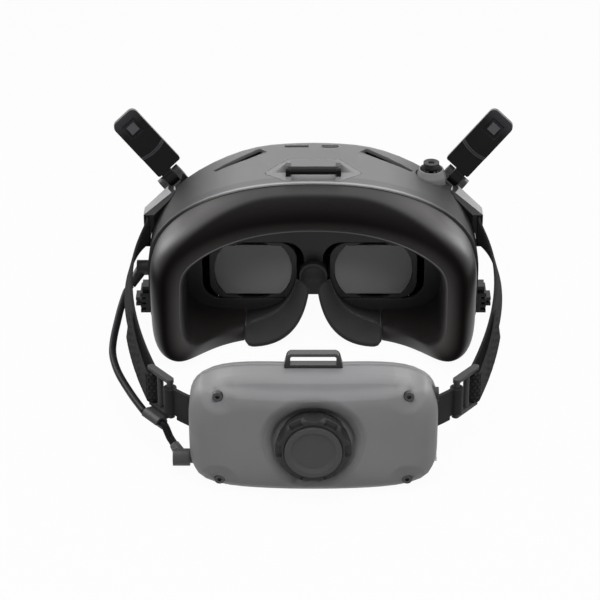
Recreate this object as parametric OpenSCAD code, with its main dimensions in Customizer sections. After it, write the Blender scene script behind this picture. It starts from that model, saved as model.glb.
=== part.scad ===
// Goggles with a face pad, two eyepieces and folding antennas, held by straps to a battery case.
// Millimetres. X to the wearer's right, Y forward, Z up from the table; the origin is under the middle.

/* [Housing] */
// Width of the housing across the temples
body_w = 172; // [168:1:178]
// Height of the crown above the table
body_h = 82; // [80:1:86]
// Depth of the housing from the forehead seam to the front
body_d = 54; // [52:1:60]
// Wall thickness of the housing
wall = 2.2; // [1.8:0.1:2.6]
// Radius of the rounded front edge
edge_r = 6.5; // [5:0.5:8]
// Radius of the curve that follows the face, seen from above
face_r = 145; // [130:5:180]
// Half width of the flat middle of the front
flat_w = 32; // [28:1:36]
// How far the front corners sweep back per millimetre of width
sweep = 0.75; // [0.65:0.05:0.8]
// Height of the notch for the nose
nose_h = 20; // [17:1:20]

/* [Eyepieces] */
// Distance between the two lens centres
ipd = 64; // [62:0.5:66]
// Travel of each eyepiece to either side
ipd_travel = 3.5; // [2:0.5:3.5]
// Height of the lens centres above the table
eye_z = 32; // [31:0.5:34]
// Width of a lens
lens_w = 41.4; // [38:0.2:42]
// Height of a lens between its cut edges
lens_h = 29.4; // [26:0.2:30]
// Length of an eyepiece barrel
barrel_l = 30; // [26:1:32]
// How far the lenses sit behind the forehead seam
lens_back = 3; // [2.5:0.5:5]

/* [Face pad] */
// Depth of the pad at the forehead
pad_d = 28; // [22:1:32]
// Extra depth of the pad at the temples
pad_side = 22; // [16:1:26]
// Thickness of the pad roll at the temples
pad_t = 19; // [16:0.5:20]
// Thickness of the pad roll at the forehead
pad_top = 15.5; // [14:0.5:18]
// Half width of the gap in the pad for the nose
nose_gap = 36; // [33:1:40]

/* [Antennas] */
// Length of an antenna blade
ant_l = 34.5; // [31:0.5:38]
// Width of an antenna blade
ant_w = 15.5; // [13:0.5:16]
// Thickness of an antenna blade
ant_t = 6.6; // [5:0.2:7]
// Outward lean of the raised antennas in degrees
ant_tilt = 42; // [36:1:46]
// Diameter of the hinge pins
pin_d = 3; // [2:0.2:3.4]

/* [Joystick] */
// Diameter of the joystick cap
joy_d = 8.4; // [7.4:0.2:9]
// How far the joystick rocking centre lies below the crown
joy_drop = 5; // [3:0.5:6]

/* [Battery case] */
// Width of the battery case
case_w = 118; // [112:1:124]
// Height of the battery case
case_h = 61.5; // [58:0.5:64]
// Depth of the battery case
case_d = 27; // [26:0.5:30]
// Wall thickness of the battery case
case_wall = 2; // [1.6:0.1:2.4]
// Radius of the rounded rear edge of the case
case_r = 11; // [9:0.5:12]
// Distance from the forehead seam to the head side of the case
head_gap = 143; // [137:1:150]
// Thickness of the head pad
head_pad_t = 6; // [4:0.5:8]

/* [Tension knob] */
// Diameter of the knob over its grips
knob_d = 36; // [32:1:40]
// Height of the knob axis above the table
knob_z = 30.5; // [29.5:0.5:31.5]
// How far the knob stands out behind the case
knob_out = 8; // [7:0.5:11]
// Number of teeth on the pinion
pinion_n = 10; // [10:2:12]
// Running gap of moving pieces
run_gap = 0.3; // [0.25:0.05:0.4]

/* [Bands and straps] */
// Radius of the loop that the bands slide along
loop_r = 95; // [92:1:98]
// Width of a band
band_w = 16.4; // [15.6:0.2:17]
// Thickness of a band
band_t = 1.8; // [1.4:0.1:2]
// Height of the band middle above the table
band_z = 30.8; // [30.4:0.2:31.2]
// Height of the buckle middle above the table
buckle_z = 33; // [32.5:0.25:33.5]
// Height of the strap middle where it leaves the housing
strap_z = 57; // [56:0.5:59]
// Width of a strap
strap_w = 16.6; // [15.6:0.2:17.4]
// Thickness of a strap
strap_t = 1.6; // [1.2:0.1:2]
// Diameter of the buckle bars
bar_d = 3.2; // [2.8:0.1:3.6]

/* [Cable] */
// Diameter of the power cable
cable_d = 3.8; // [3:0.2:4.2]

/* [Hidden] */

sides = 72;
gap = 0.25;
$fn = 48;
front0 = (body_d + head_gap + case_d + knob_out) / 2;
seam0 = front0 - body_d;
lens_y = seam0 - lens_back;
plate_y = lens_y - 1;
case_front0 = seam0 - head_gap;
case_rear0 = case_front0 - case_d;
knob_end = case_rear0 - knob_out;
mid_z = body_h / 2;
floor_z = 0.6;
band_in = 8;
loop_y = case_rear0 + band_in + loop_r;
case_z = case_h / 2;
seam_in = 7;
shelf_z = eye_z + 26;

// Point of a superellipse at angle t, with its own height and squareness above and below the middle
function rim(t, w, up, dn, nu, nd) =
    let (c = cos(t), s = sin(t), n = s >= 0 ? nu : nd, h = s >= 0 ? up : dn)
    let (k = pow(pow(abs(c), n) + pow(abs(s), n), -1 / n))
    [w * k * c, h * k * s];

// Plan lines of the housing: swept front and face-side seam
function ramp(a) = (a - flat_w + sqrt(pow(a - flat_w, 2) + 256)) / 2;
function front_y(x) = front0 - sweep * (ramp(abs(x)) - ramp(0));
function seam_y(x) = seam0 - x * x / (2 * face_r);

// Plan lines of the battery case: rear face, head side and shell seam
function case_rear(x) = case_rear0 + x * x / 600;
function case_front(x) = case_front0 + x * x / 500;

function flat(l) = [for (a = l) for (b = a) b];
function mix(a, b, t) = a + (b - a) * t;
function bez(p, t) = pow(1 - t, 3) * p[0] + 3 * t * pow(1 - t, 2) * p[1]
    + 3 * t * t * (1 - t) * p[2] + pow(t, 3) * p[3];

// Triangles between closed rings of points
function skin(rows, cols, wrap) = [for (r = [0 : rows - (wrap ? 1 : 2)], c = [0 : cols - 1])
    let (r2 = (r + 1) % rows, c2 = (c + 1) % cols)
    each [[r * cols + c, r * cols + c2, r2 * cols + c2], [r * cols + c, r2 * cols + c2, r2 * cols + c]]];

// Solid whose rings close on themselves, like a tube wall
module loop_solid(rings) {
    polyhedron(flat(rings), skin(len(rings), len(rings[0]), true));
}

// Solid closed by a fan to a point at each end
module cap_solid(rings, p0, p1) {
    n = len(rings[0]);
    m = len(rings) * n;
    polyhedron(concat(flat(rings), [p0, p1]), concat(skin(len(rings), n, false),
        [for (c = [0 : n - 1]) [m, (c + 1) % n, c]],
        [for (c = [0 : n - 1]) [m + 1, m - n + c, m - n + (c + 1) % n]]));
}

// Flat strip swept along a plan path of [x, y, z, lean x, lean y] points; the lean tips its upper edge
module strip(path, w, t) {
    n = len(path);
    rings = [for (i = [0 : n - 1])
        let (p = path[i], a = path[max(i - 1, 0)], b = path[min(i + 1, n - 1)], d = b - a)
        let (c = [p[0], p[1], p[2]], h = [p[3], p[4], w / 2])
        let (u = [d[1], -d[0], 0] / norm([d[0], d[1]]) * t / 2)
        [c - u - h, c + u - h, c + u + h, c - u + h]];
    cap_solid(rings, (rings[0][0] + rings[0][2]) / 2, (rings[n - 1][0] + rings[n - 1][2]) / 2);
}

// Round cord swept along a path of points
module cord(path, d) {
    n = len(path);
    rings = [for (i = [0 : n - 1])
        let (a = path[max(i - 1, 0)], b = path[min(i + 1, n - 1)], f = (b - a) / norm(b - a))
        let (u0 = cross(f, [0, 0, 1]), u = u0 / norm(u0), v = cross(u, f))
        [for (k = [0 : 7]) path[i] + (u * cos(k * 45) + v * sin(k * 45)) * d / 2]];
    cap_solid(rings, path[0], path[n - 1]);
}

// Smooth route through points: each stretch of the list is a curve past its neighbours
function route(p, steps) = [for (i = [0 : len(p) - 2], k = [0 : (i == len(p) - 2 ? steps : steps - 1)])
    let (a = p[max(i - 1, 0)], b = p[i], c = p[i + 1], d = p[min(i + 2, len(p) - 1)], t = k / steps)
    let (l = norm(c - b), m = (c - a) * l / (l + norm(b - a)), n = (d - b) * l / (l + norm(d - c)))
    b + m * t + (3 * (c - b) - 2 * m - n) * t * t + (m + n - 2 * (c - b)) * t * t * t];

module both() {
    children();
    mirror([1, 0, 0]) children();
}

// Rectangle with rounded corners, centred
module round_rect(w, h, r) {
    square([w - 2 * r, h], center = true);
    square([w, h - 2 * r], center = true);
    for (x = [-1, 1], y = [-1, 1])
        translate([x * (w / 2 - r), y * (h / 2 - r)])
            circle(r);
}

// Upright plate in the XZ plane, from y to y + t
module plate_xz(y, t) {
    translate([0, y + t, 0])
        rotate([90, 0, 0])
            linear_extrude(t) children();
}

// Sector of a ring round the head loop axis, from angle a0 to a1 off the rear
module loop_sector(r0, r1, z0, z1, a0, a1) {
    translate([0, loop_y, 0])
        rotate([0, 0, a0 - 90])
            rotate_extrude(angle = a1 - a0, $fn = 96)
                translate([r0, z0]) square([r1 - r0, z1 - z0]);
}

function body_ring(inset, front, dy, k = 1) = [for (i = [0 : sides - 1])
    let (p = k * rim(i * 360 / sides, body_w / 2 - inset, mid_z - inset, mid_z - inset, 3, 6))
    [p[0], (front ? front_y(p[0]) : seam_y(p[0])) + dy, max(mid_z + p[1], floor_z + inset)]];

// Outside of the housing as a full solid, grown by g
module body_envelope(g) {
    cap_solid([body_ring(-g, false, -2), body_ring(-g, true, -edge_r),
        body_ring(edge_r * 0.134 - g, true, -edge_r * 0.5),
        body_ring(edge_r * 0.5 - g, true, g - edge_r * 0.134), body_ring(edge_r, true, g)],
        [0, seam0, mid_z], [0, front0 + g, mid_z]);
}

lip = edge_r + 5;

module housing_shell() {
    loop_solid([body_ring(0, false, 0), body_ring(0, true, -edge_r),
        body_ring(edge_r * 0.134, true, -edge_r * 0.5), body_ring(edge_r * 0.5, true, -edge_r * 0.134),
        body_ring(edge_r, true, 0), body_ring(lip, true, 0), body_ring(lip, true, -wall),
        body_ring(edge_r, true, -wall), body_ring(wall, true, -edge_r), body_ring(wall, false, 0)]);
}

module housing() {
    color("#77777a") difference() {
        union() {
            housing_shell();
            intersection() {
                nose_notch(1.8);
                body_envelope(0);
                translate([-40, seam0, 0]) cube([80, body_d - 1, 40]);
            }
        }
        nose_notch(0);
        difference() {
            bottom_outline(gap, -1, 6);
            nose_notch(1.8);
        }
        both() vent_slot();
        translate([-9, port_y, body_h - 3]) cube([12.9, 2.8, 12], center = true);
        translate([9, port_y, body_h - 3])
            linear_extrude(12, center = true) round_rect(9.5, 3.6, 1.7);
        translate([0, 0, body_h - 12]) linear_extrude(20) loop_plan(gap);
        translate([joy_x, joy_y, joy_z - 12]) cylinder(r = 8 + gap, h = 30);
        translate([-body_w / 2 - 5, socket_y, socket_z])
            rotate([0, 90, 0]) cylinder(d = 9 + 2 * gap, h = 12);
        both() translate([body_w / 2 - 2.1 - gap, vent_y - 6 - gap, 11 - gap])
            cube([12, 12 + 2 * gap, 14.6 + 2 * gap]);
    }
}

port_y = front0 - 9.4;
loop_tray_y = seam0 + 15;
joy_x = body_w / 2 - 23.5;
joy_z = body_h - joy_drop;
joy_y = front_y(joy_x) - 11;
socket_y = seam_y(body_w / 2) + 10.5;
socket_z = 40;
vent_y = lens_y - 3;

// Channel under the nose, grown by g
module nose_notch(g) {
    translate([0, seam0 - 30, 0]) rotate([90 - 14, 0, 0]) mirror([0, 0, 1]) linear_extrude(100) {
        translate([0, nose_h - 0.5]) circle(8 + g);
        polygon([[-8 - g, nose_h - 0.5], [8 + g, nose_h - 0.5], [14 + g, -14], [-14 - g, -14]]);
    }
}

function top_z(x) = mid_z + mid_z * pow(1 - pow(2 * x / body_w, 3), 1 / 3);

// Slot over each eyepiece, wide at its inner end, with a sloped near side
module vent_slot() {
    p = [[24, front0 - 16.4], [51.8, front0 - 34], [52.8, front0 - 32.8], [27.4, front0 - 12.6]];
    d = [0.05, 0.05, -1, -2];
    translate([0, 0, body_h - 18]) linear_extrude(30)
        polygon([[27, front0 - 13], [28.8, front0 - 11], [53.4, front0 - 32.4], [52.6, front0 - 33]]);
    polyhedron([for (k = [0 : 7]) let (q = p[k % 4]) [q[0], q[1], k < 4 ? top_z(q[0]) + d[k] : body_h + 6]],
        [[0, 1, 2], [0, 2, 3], [4, 5, 1, 0], [7, 6, 5, 4], [5, 6, 2, 1], [6, 7, 3, 2], [7, 4, 0, 3]]);
}

module front_cover() {
    e = lip + gap;
    color("#2b2b2d") cap_solid([body_ring(e, true, -wall, 0.4), body_ring(e, true, -wall),
        body_ring(e, true, -0.6), body_ring(e + 1.2, true, 0), body_ring(e, true, 0, 0.4)],
        [0, front0 - wall, mid_z], [0, front0, mid_z]);
}

// Plan of the bottom cover between heights z0 and z1, grown by g
module bottom_outline(g, z0, z1) {
    translate([0, 0, z0]) linear_extrude(z1 - z0) polygon([
        [-52 - g, lens_y + 8 - g], [52 + g, lens_y + 8 - g], [52 + g, lens_y + 30],
        [34 + g, lens_y + 43 + g], [-34 - g, lens_y + 43 + g], [-52 - g, lens_y + 30]]);
}

slider_y = lens_y + 20;

module bottom_covers() {
    color("#2b2b2d") difference() {
        bottom_outline(0, 0, wall + floor_z);
        nose_notch(1.8 + gap);
        for (x = [-1, 1])
            translate([x * ipd / 2, slider_y, 0])
                cube([9 + 2 * ipd_travel + 2 * run_gap, 6 + 2 * run_gap, 20], center = true);
        screw_points() translate([0, 0, -1]) cylinder(r = 1.2, h = 8);
        screw_points() translate([0, 0, -1]) cylinder(r = 2.3, h = 2.2);
    }
}

module screw_points() {
    for (x = [-48, 48], y = [lens_y + 12, lens_y + 26])
        translate([x, y, 0]) children();
}

module housing_screws() {
    color("#8a8c90") screw_points() {
        translate([0, 0, 0.3]) cylinder(r = 2, h = 0.8);
        translate([0, 0, 1]) cylinder(r = 1.1, h = 5.8);
    }
}

// Hole in the eye plate: the eyepiece slides sideways in it
module eye_hole(g) {
    translate([ipd / 2, eye_z])
        round_rect(lens_w + 5 + 2 * ipd_travel + 2 * g, lens_h + 4 + 2 * g, 10);
}

module eye_plate() {
    color("#161617") difference() {
        plate_xz(plate_y, 2.5) difference() {
            polygon([for (i = [0 : sides - 1])
                let (in = wall + gap, p = rim(i * 360 / sides, body_w / 2 - in, mid_z - in, mid_z - in, 3, 6))
                [p[0], max(p[1] + mid_z, in + floor_z)]]);
            eye_hole(run_gap);
            mirror([1, 0]) eye_hole(run_gap);
        }
        nose_notch(0);
    }
}

// Cross-section ring of the face pad at angle t, from the seam over the crown to the inner rim
function pad_ring(t) =
    let (o = rim(t, body_w / 2 - 1.2, mid_z - 0.1, mid_z - 0.1, 3, 6.5))
    let (i = rim(t, body_w / 2 - pad_t, mid_z - pad_top, mid_z - 9, 3, 6))
    let (low = max(0, -sin(t)), x = min(abs(o[0]), body_w * 0.44) / (body_w * 0.44))
    let (top = seam0 - pad_d - pad_side * 0.93 * x * x)
    let (bot = seam0 - pad_d + 6 - (pad_side + 18) * pow(x, 4))
    let (crest = mix(top, bot, low), y0 = seam_y(o[0]) - gap - 0.4 * low, y1 = min(y0, plate_y - gap))
    [for (q = [[0, y0], [0.06 * low, mix(y0, crest, 0.45)],
        [0.06 + 0.14 * low, mix(y0, crest, 0.82 + 0.04 * low)], [0.26 + 0.12 * low, crest + 0.6],
        [0.5, crest - 0.4 + 3 * low], [0.76, crest + 1 + 5.5 * low],
        [0.96, crest + 4 + 8 * low], [1, crest + 7.5 + 9 * low], [0.93, plate_y - gap], [0.1, y1]])
        let (k = q[0] * (q[0] < 0.6 ? 1 - 0.8 * low : 1))
        [mix(o[0], i[0], q[0]), q[1], max(0.3, mid_z + mix(o[1], i[1], k))]];

module face_pad() {
    color("#241c1a") difference() {
        loop_solid([for (i = [0 : sides - 1]) pad_ring(i * 360 / sides)]);
        translate([-nose_gap, plate_y - 60, -5]) cube([2 * nose_gap, 70, 22]);
    }
}

// Rubber flap from the eye plate to the side of the nose, between its root line and its free edge
module nose_flap() {
    root = [[9, plate_y - 6.2, 30], [13, plate_y - 7.4, 14], [20, plate_y - 8, 10],
        [nose_gap - 0.4, plate_y - 16, 8.4]];
    free = [[2.6, plate_y - 11.2, 27], [5, plate_y - 17, 17], [9, plate_y - 28, 1],
        [nose_gap - 0.4, plate_y - 29, 3]];
    rings = [for (k = [0 : 12])
        let (t = k / 12, r = bez(root, t), f = bez(free, t), m = (r + f) / 2 + [0.6, 0, 1.6])
        let (d = bez(root, t + 0.01) + bez(free, t + 0.01) - bez(root, t - 0.01) - bez(free, t - 0.01))
        let (n = cross(d, f - r), u = n / norm(n) * 1.4)
        [r + u, m + u, f + u * 0.7, f, m, r]];
    cap_solid(rings, (rings[0][1] + rings[0][4]) / 2, (rings[12][1] + rings[12][4]) / 2);
}

module nose_flaps() {
    color("#1b1b1c") both() nose_flap();
}

// Scooped saddle between the eyepieces, arched at its top
module nose_scoop() {
    color("#6f6f72") difference() {
        plate_xz(plate_y - 5 - gap, 5) {
            translate([-7.4, nose_h + 0.6]) square([14.8, 11]);
            translate([0, nose_h + 11.6]) circle(7.4);
        }
        translate([0, plate_y - 10.2, nose_h + 11.2]) {
            sphere(r = 8.2);
            rotate([162, 0, 0]) cylinder(r = 8, h = 24);
        }
    }
}

strap_x = body_w / 2 + strap_t / 2 + gap;

// Bracket that carries a strap end along the shoulder of the housing
module strap_arm() {
    lo = strap_z - strap_w / 2 - 1;
    x = body_w / 2 - 12;
    z = body_h - 15;
    difference() {
        hull() {
            translate([x, front_y(x) - 8.6, z]) cube([3, 4, 4.4]);
            translate([x - 2, lens_y + 14, z]) cube([3, 2, 4]);
            translate([body_w / 2 - 4, lens_y + 2, lo]) cube([strap_x - body_w / 2 + 5.6, 3, strap_w + 2.4]);
            translate([body_w / 2 - 2.6, lens_y - 3, lo]) cube([strap_x - body_w / 2 + 4.4, 4, strap_w + 2]);
        }
        body_envelope(gap);
        translate([strap_x - strap_t / 2 - gap, lens_y - 6, lo + 1 - gap])
            cube([strap_t + 2 * gap, 8.2, strap_w + 2 * gap]);
    }
}

module left_strap_arm() {
    color("#808084") mirror([1, 0, 0]) strap_arm();
}

module right_strap_arm() {
    color("#808084") strap_arm();
}

// Plan of the tray in the crown, grown by g
module loop_plan(g) {
    translate([0, loop_tray_y]) polygon([[-14 - g, -12.4 - g], [14 + g, -12.4 - g], [25 + g, -4 - g],
        [25 + g, -1.5], [13.5 + g, 13.4 + g], [-13.5 - g, 13.4 + g], [-25 - g, -1.5], [-25 - g, -4 - g]]);
}

// Tray let into the crown: a ramp leads a head strap down under a raised bar on two cheeks
module top_strap_loop() {
    color("#3a3a3c") {
        difference() {
            intersection() {
                translate([0, 0, body_h - 7.5]) linear_extrude(12) loop_plan(0);
                body_envelope(0);
            }
            translate([0, loop_tray_y, body_h]) {
                polyhedron([[-16, -2.5, -6], [16, -2.5, -6], [12, 11.8, 0.1], [-12, 11.8, 0.1],
                    [-23, -2.5, 0.1], [23, -2.5, 0.1], [12, 11.8, 4], [-12, 11.8, 4],
                    [-23, -2.5, 4], [23, -2.5, 4]],
                    [[0, 1, 2, 3], [0, 4, 8], [0, 8, 9], [0, 9, 5], [0, 5, 1], [1, 5, 2], [5, 9, 6],
                    [5, 6, 2], [2, 6, 7, 3], [3, 7, 4], [4, 7, 8], [0, 3, 4], [9, 8, 7, 6]]);
                translate([-11.6, -5, 3.2]) rotate([0, 90, 0]) cylinder(r = 8, h = 23.2);
            }
        }
        translate([0, loop_tray_y, body_h]) {
            both() translate([12, 0, 0]) rotate([90, 0, 90]) linear_extrude(2.6) polygon([[-7.6, -1],
                [-7.6, 3.6], [-6.8, 4.4], [-3.4, 4.4], [8.4, 0.4], [8.4, -3], [-2, -7]]);
            translate([-13.4, -5.2, 2.5]) rotate([0, 90, 0]) cylinder(r = 2.2, h = 26.8);
        }
    }
}

// Places children at the right antenna hinge: X along the pin, Z along the raised blade
module antenna_place() {
    translate([ant_x, ant_y, ant_z])
        rotate([0, ant_tilt, 0]) rotate([-8, 0, 0]) rotate([0, 0, -16]) children();
}

ant_x = body_w / 2 - 10.4;
ant_y = front_y(ant_x) + 6.4;
ant_z = body_h - 11;
lug_r = pin_d / 2 + 2.7;
ant_off = 3;

// Blade with a raised outer part, a square badge recess near its tip and a lug between the bracket's lugs
module antenna() {
    lo = lug_r + 0.9;
    hi = ant_l + 8;
    rise = mix(lo, hi, 0.33) + 20.9;
    difference() {
        union() {
            translate([-3, 0, 0]) rotate([0, 90, 0]) cylinder(r = lug_r, h = 6);
            plate_xz(-ant_t / 2, ant_t) {
                translate([-ant_off, (lo + hi) / 2]) round_rect(ant_w, hi - lo, 3.4);
                translate([-ant_off, lo + 6]) round_rect(ant_w, 12, 1.2);
                translate([-3, 0]) square([6, lo + 1]);
            }
        }
        translate([-5, 0, 0]) rotate([0, 90, 0]) cylinder(r = pin_d / 2 + 0.1, h = 10);
        translate([-ant_off - 4.2, -ant_t / 2 - 1, ant_l - 4.6]) cube([8.4, 1.7, 8.4]);
        difference() {
            translate([-ant_off - ant_w, -ant_t / 2 - 1, lug_r]) cube([2 * ant_w, 2.2, hi / 2]);
            translate([-ant_off, -ant_t / 2 - 1.2, rise]) rotate([-90, 0, 0])
                cylinder(r1 = 18.2, r2 = 22.1, h = 2.6);
        }
    }
    translate([-ant_off - 2.5, -ant_t / 2 + 0.2, ant_l - 2.9]) cube([5, 1, 5]);
}

// Forked bracket: two lugs for the pin on a foot shaped to the housing
module antenna_bracket() {
    difference() {
        union() {
            antenna_place() for (s = [-1, 1]) translate([s * 5 - 1.7, 0, 0]) rotate([0, 90, 0])
                cylinder(r = lug_r, h = 3.4);
            difference() {
                antenna_place() rotate([150, 0, 0]) {
                    for (s = [-1, 1]) translate([s * 5 - 1.6, 0.5 - lug_r, 0])
                        cube([3.2, 2 * lug_r - 1, 14]);
                    translate([-6.8, 0.2 - lug_r, lug_r + 1]) cube([13.6, 2 * lug_r - 0.4, 9]);
                }
                body_envelope(gap * 1.4);
                translate([joy_x, joy_y, joy_z - 20]) cylinder(r = 8 + 2 * gap, h = 40);
            }
        }
        antenna_place() translate([-12, 0, 0]) rotate([0, 90, 0]) cylinder(r = pin_d / 2 + 0.02, h = 24);
    }
}

module antenna_pins() {
    color("#8a8c90") both() antenna_place()
        translate([-6.5, 0, 0]) rotate([0, 90, 0]) cylinder(d = pin_d, h = 13);
}

module left_antenna() {
    color("#202022") mirror([1, 0, 0]) antenna_place() antenna();
}

module right_antenna() {
    color("#202022") antenna_place() antenna();
}

module left_antenna_bracket() {
    color("#2c2c2e") mirror([1, 0, 0]) antenna_bracket();
}

module right_antenna_bracket() {
    color("#2c2c2e") antenna_bracket();
}

// Joystick: a ring rocks across the cup, the stem rocks in the ring, the cap presses down the stem
module joystick_base() {
    color("#5f5f62") difference() {
        union() {
            translate([joy_x, joy_y, joy_z - 6]) cylinder(r = 8, h = 5.6);
            translate([joy_x, joy_y, joy_z - 0.4]) cylinder(r1 = 8, r2 = 6.5, h = 4);
        }
        translate([joy_x, joy_y, joy_z - 4.4]) cylinder(r = 6, h = 12);
        translate([joy_x - 10, joy_y, joy_z]) rotate([0, 90, 0]) cylinder(r = 0.85, h = 20);
    }
}

module joystick_gimbal() {
    color("#4a4a4c") translate([joy_x, joy_y, joy_z]) {
        difference() {
            translate([0, 0, -1.3]) cylinder(r = 5.1, h = 2.6);
            translate([0, 0, -3]) cylinder(r = 3.4, h = 6);
            translate([0, -8, 0]) rotate([-90, 0, 0]) cylinder(r = 0.75, h = 16);
        }
        for (s = [-1, 1]) translate([s * 5.8 - 1.1, 0, 0]) rotate([0, 90, 0]) cylinder(r = 0.75, h = 2.2);
    }
}

module joystick_stem() {
    color("#3c3c3e") translate([joy_x, joy_y, joy_z]) {
        translate([0, 0, -1.4]) cylinder(r = 2.6, h = 2.8);
        translate([0, 0, 1]) cylinder(r = 1.5, h = 5.4);
        translate([0, -4.6, 0]) rotate([-90, 0, 0]) cylinder(r = 0.65, h = 9.2);
    }
}

module joystick_cap() {
    color("#2a2a2c") translate([joy_x, joy_y, joy_z]) difference() {
        union() {
            translate([0, 0, 3.4]) cylinder(d = joy_d - 1.4, h = 2);
            translate([0, 0, 4.4]) cylinder(d = joy_d, h = 3);
        }
        translate([0, 0, 2]) cylinder(r = 1.5 + 0.1, h = 5);
        translate([0, 0, 14.2]) sphere(r = 7.4);
    }
}

// Eyepiece barrel with its bezel, rail lugs and finger tab
module eyepiece() {
    translate([ipd / 2, 0, 0]) difference() {
        union() {
            plate_xz(plate_y + 0.3, 3.4) translate([0, eye_z]) round_rect(lens_w + 5, lens_h + 4, 10);
            translate([0, plate_y + 3, eye_z]) rotate([-90, 0, 0]) cylinder(r = 20, h = barrel_l + 2);
            translate([-7, lens_y + 8, eye_z + 17]) cube([14, front0 - lens_y - 35, 8.4]);
            translate([-4.5, slider_y - 3, 0.7]) cube([9, 6, eye_z - 18]);
        }
        translate([0, plate_y - 1, eye_z]) rotate([-90, 0, 0]) cylinder(r = 17.6, h = barrel_l + 8);
        plate_xz(plate_y - 1, 4.4) translate([0, eye_z]) intersection() {
            circle(d = lens_w + 0.4);
            square([lens_w + 2, lens_h + 0.4], center = true);
        }
        for (y = rail_ys) translate([-20, y, eye_z + 22.5]) rotate([0, 90, 0]) cylinder(r = 1.6, h = 40);
    }
}

rail_ys = [lens_y + 13, front0 - 32];

module lens() {
    translate([ipd / 2, 0, 0]) plate_xz(lens_y + 0.4, 1.9) translate([0, eye_z]) intersection() {
        circle(d = lens_w);
        square([lens_w + 2, lens_h], center = true);
    }
}

module display() {
    translate([ipd / 2, plate_y + barrel_l + 2, eye_z])
        rotate([-90, 0, 0]) cylinder(r = 17.4, h = 2.6);
}

module left_eyepiece() {
    color("#141415") mirror([1, 0, 0]) eyepiece();
}

module right_eyepiece() {
    color("#141415") eyepiece();
}

module left_lens() {
    color("#4a4d52") mirror([1, 0, 0]) lens();
}

module right_lens() {
    color("#4a4d52") lens();
}

module left_display() {
    color("#23304a") mirror([1, 0, 0]) display();
}

module right_display() {
    color("#23304a") display();
}

// Shelf over the barrels, with cheeks that hold the rails
shelf_w = body_w - 52;
shelf_y = plate_y + 2.7;
shelf_d = front0 - 26 - shelf_y;

module optics_chassis() {
    color("#3a3c40") difference() {
        union() {
            translate([-shelf_w / 2, shelf_y, shelf_z]) cube([shelf_w, shelf_d, 2]);
            both() translate([shelf_w / 2 - 2, shelf_y, shelf_z - 8]) cube([2, shelf_d, 8.5]);
        }
        for (y = rail_ys) translate([-shelf_w, y, eye_z + 22.5])
            rotate([0, 90, 0]) cylinder(r = 1.52, h = 2 * shelf_w);
    }
}

module ipd_rails() {
    color("#a9abb0") for (y = rail_ys)
        translate([-shelf_w / 2, y, eye_z + 22.5]) rotate([0, 90, 0]) cylinder(r = 1.5, h = shelf_w);
}

board_z = shelf_z + 2;
board_w = shelf_w - 16;
board_d = shelf_d - 4.3;
fan_x = 16 - board_w / 2;

module mainboard() {
    color("#1f4a34") translate([-board_w / 2, shelf_y + 3.3, board_z]) cube([board_w, board_d, 1.4]);
}

module heat_sink() {
    color("#9da0a5") translate([board_w / 2 - 30, lens_y + 8, board_z + 1.4]) {
        cube([26, 18, 1.6]);
        for (k = [0 : 6]) translate([k * 4.1, 0, 1.4]) cube([1.4, 18, 4.6]);
    }
}

module fan_frame() {
    color("#2a2a2c") translate([fan_x, lens_y + 17.5, board_z + 1.4]) {
        difference() {
            translate([-13, -12, 0]) cube([26, 24, 7]);
            translate([0, 0, 1.2]) cylinder(r = 11.4, h = 8);
            for (k = [0 : 2]) rotate([0, 0, k * 120]) translate([3.4, -2.4, -1]) cube([7, 4.8, 4]);
        }
        cylinder(r = 1, h = 6.4);
    }
}

module fan_rotor() {
    color("#3b3b3e") translate([fan_x, lens_y + 17.5, board_z + 1.4]) difference() {
        union() {
            translate([0, 0, 1.7]) cylinder(r = 4, h = 4.6);
            for (k = [0 : 6]) rotate([0, 0, k * 360 / 7]) translate([3, 0, 4]) rotate([35, 0, 0])
                translate([0, -2, -0.4]) cube([7.8, 4, 0.8]);
        }
        translate([0, 0, 1]) cylinder(r = 1.1, h = 9);
    }
}

module usb_port() {
    color("#9a9ca0") translate([9, port_y, body_h - 9]) difference() {
        linear_extrude(8.2) round_rect(9.1, 3.2, 1.5);
        translate([0, 0, 1.6]) linear_extrude(9) round_rect(8.3, 2.4, 1.1);
    }
    color("#9a9ca0") translate([9 - 3.2, port_y - 0.35, body_h - 8]) cube([6.4, 0.7, 5.4]);
}

module card_slot() {
    color("#2a2a2c") translate([-9, port_y, body_h - 9]) difference() {
        translate([-6.2, -1.15, 0]) cube([12.4, 2.3, 8.2]);
        translate([-5.6, -0.55, 1.6]) cube([11.2, 1.1, 9]);
    }
}

module power_socket() {
    color("#1c1c1d") translate([-body_w / 2 + 6, socket_y, socket_z]) rotate([0, -90, 0]) difference() {
        cylinder(d = 9, h = 6.2);
        translate([0, 0, 2]) cylinder(d = 5.9, h = 8);
    }
}

// Stepped exhaust blocks low on the temples
module side_vents() {
    color("#19191a") both() translate([body_w / 2 - 2.1, vent_y, 0]) difference() {
        union() {
            translate([0, -6, 11]) cube([8, 12, 11.6]);
            translate([0, -4, 22]) cube([7, 8, 3.6]);
            translate([0, -4, 13.5]) cube([10.6, 8, 7]);
        }
        for (k = [0 : 2]) translate([5, -9, 12.6 + k * 3.2]) cube([14, 18, 1.5]);
    }
}

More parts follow.
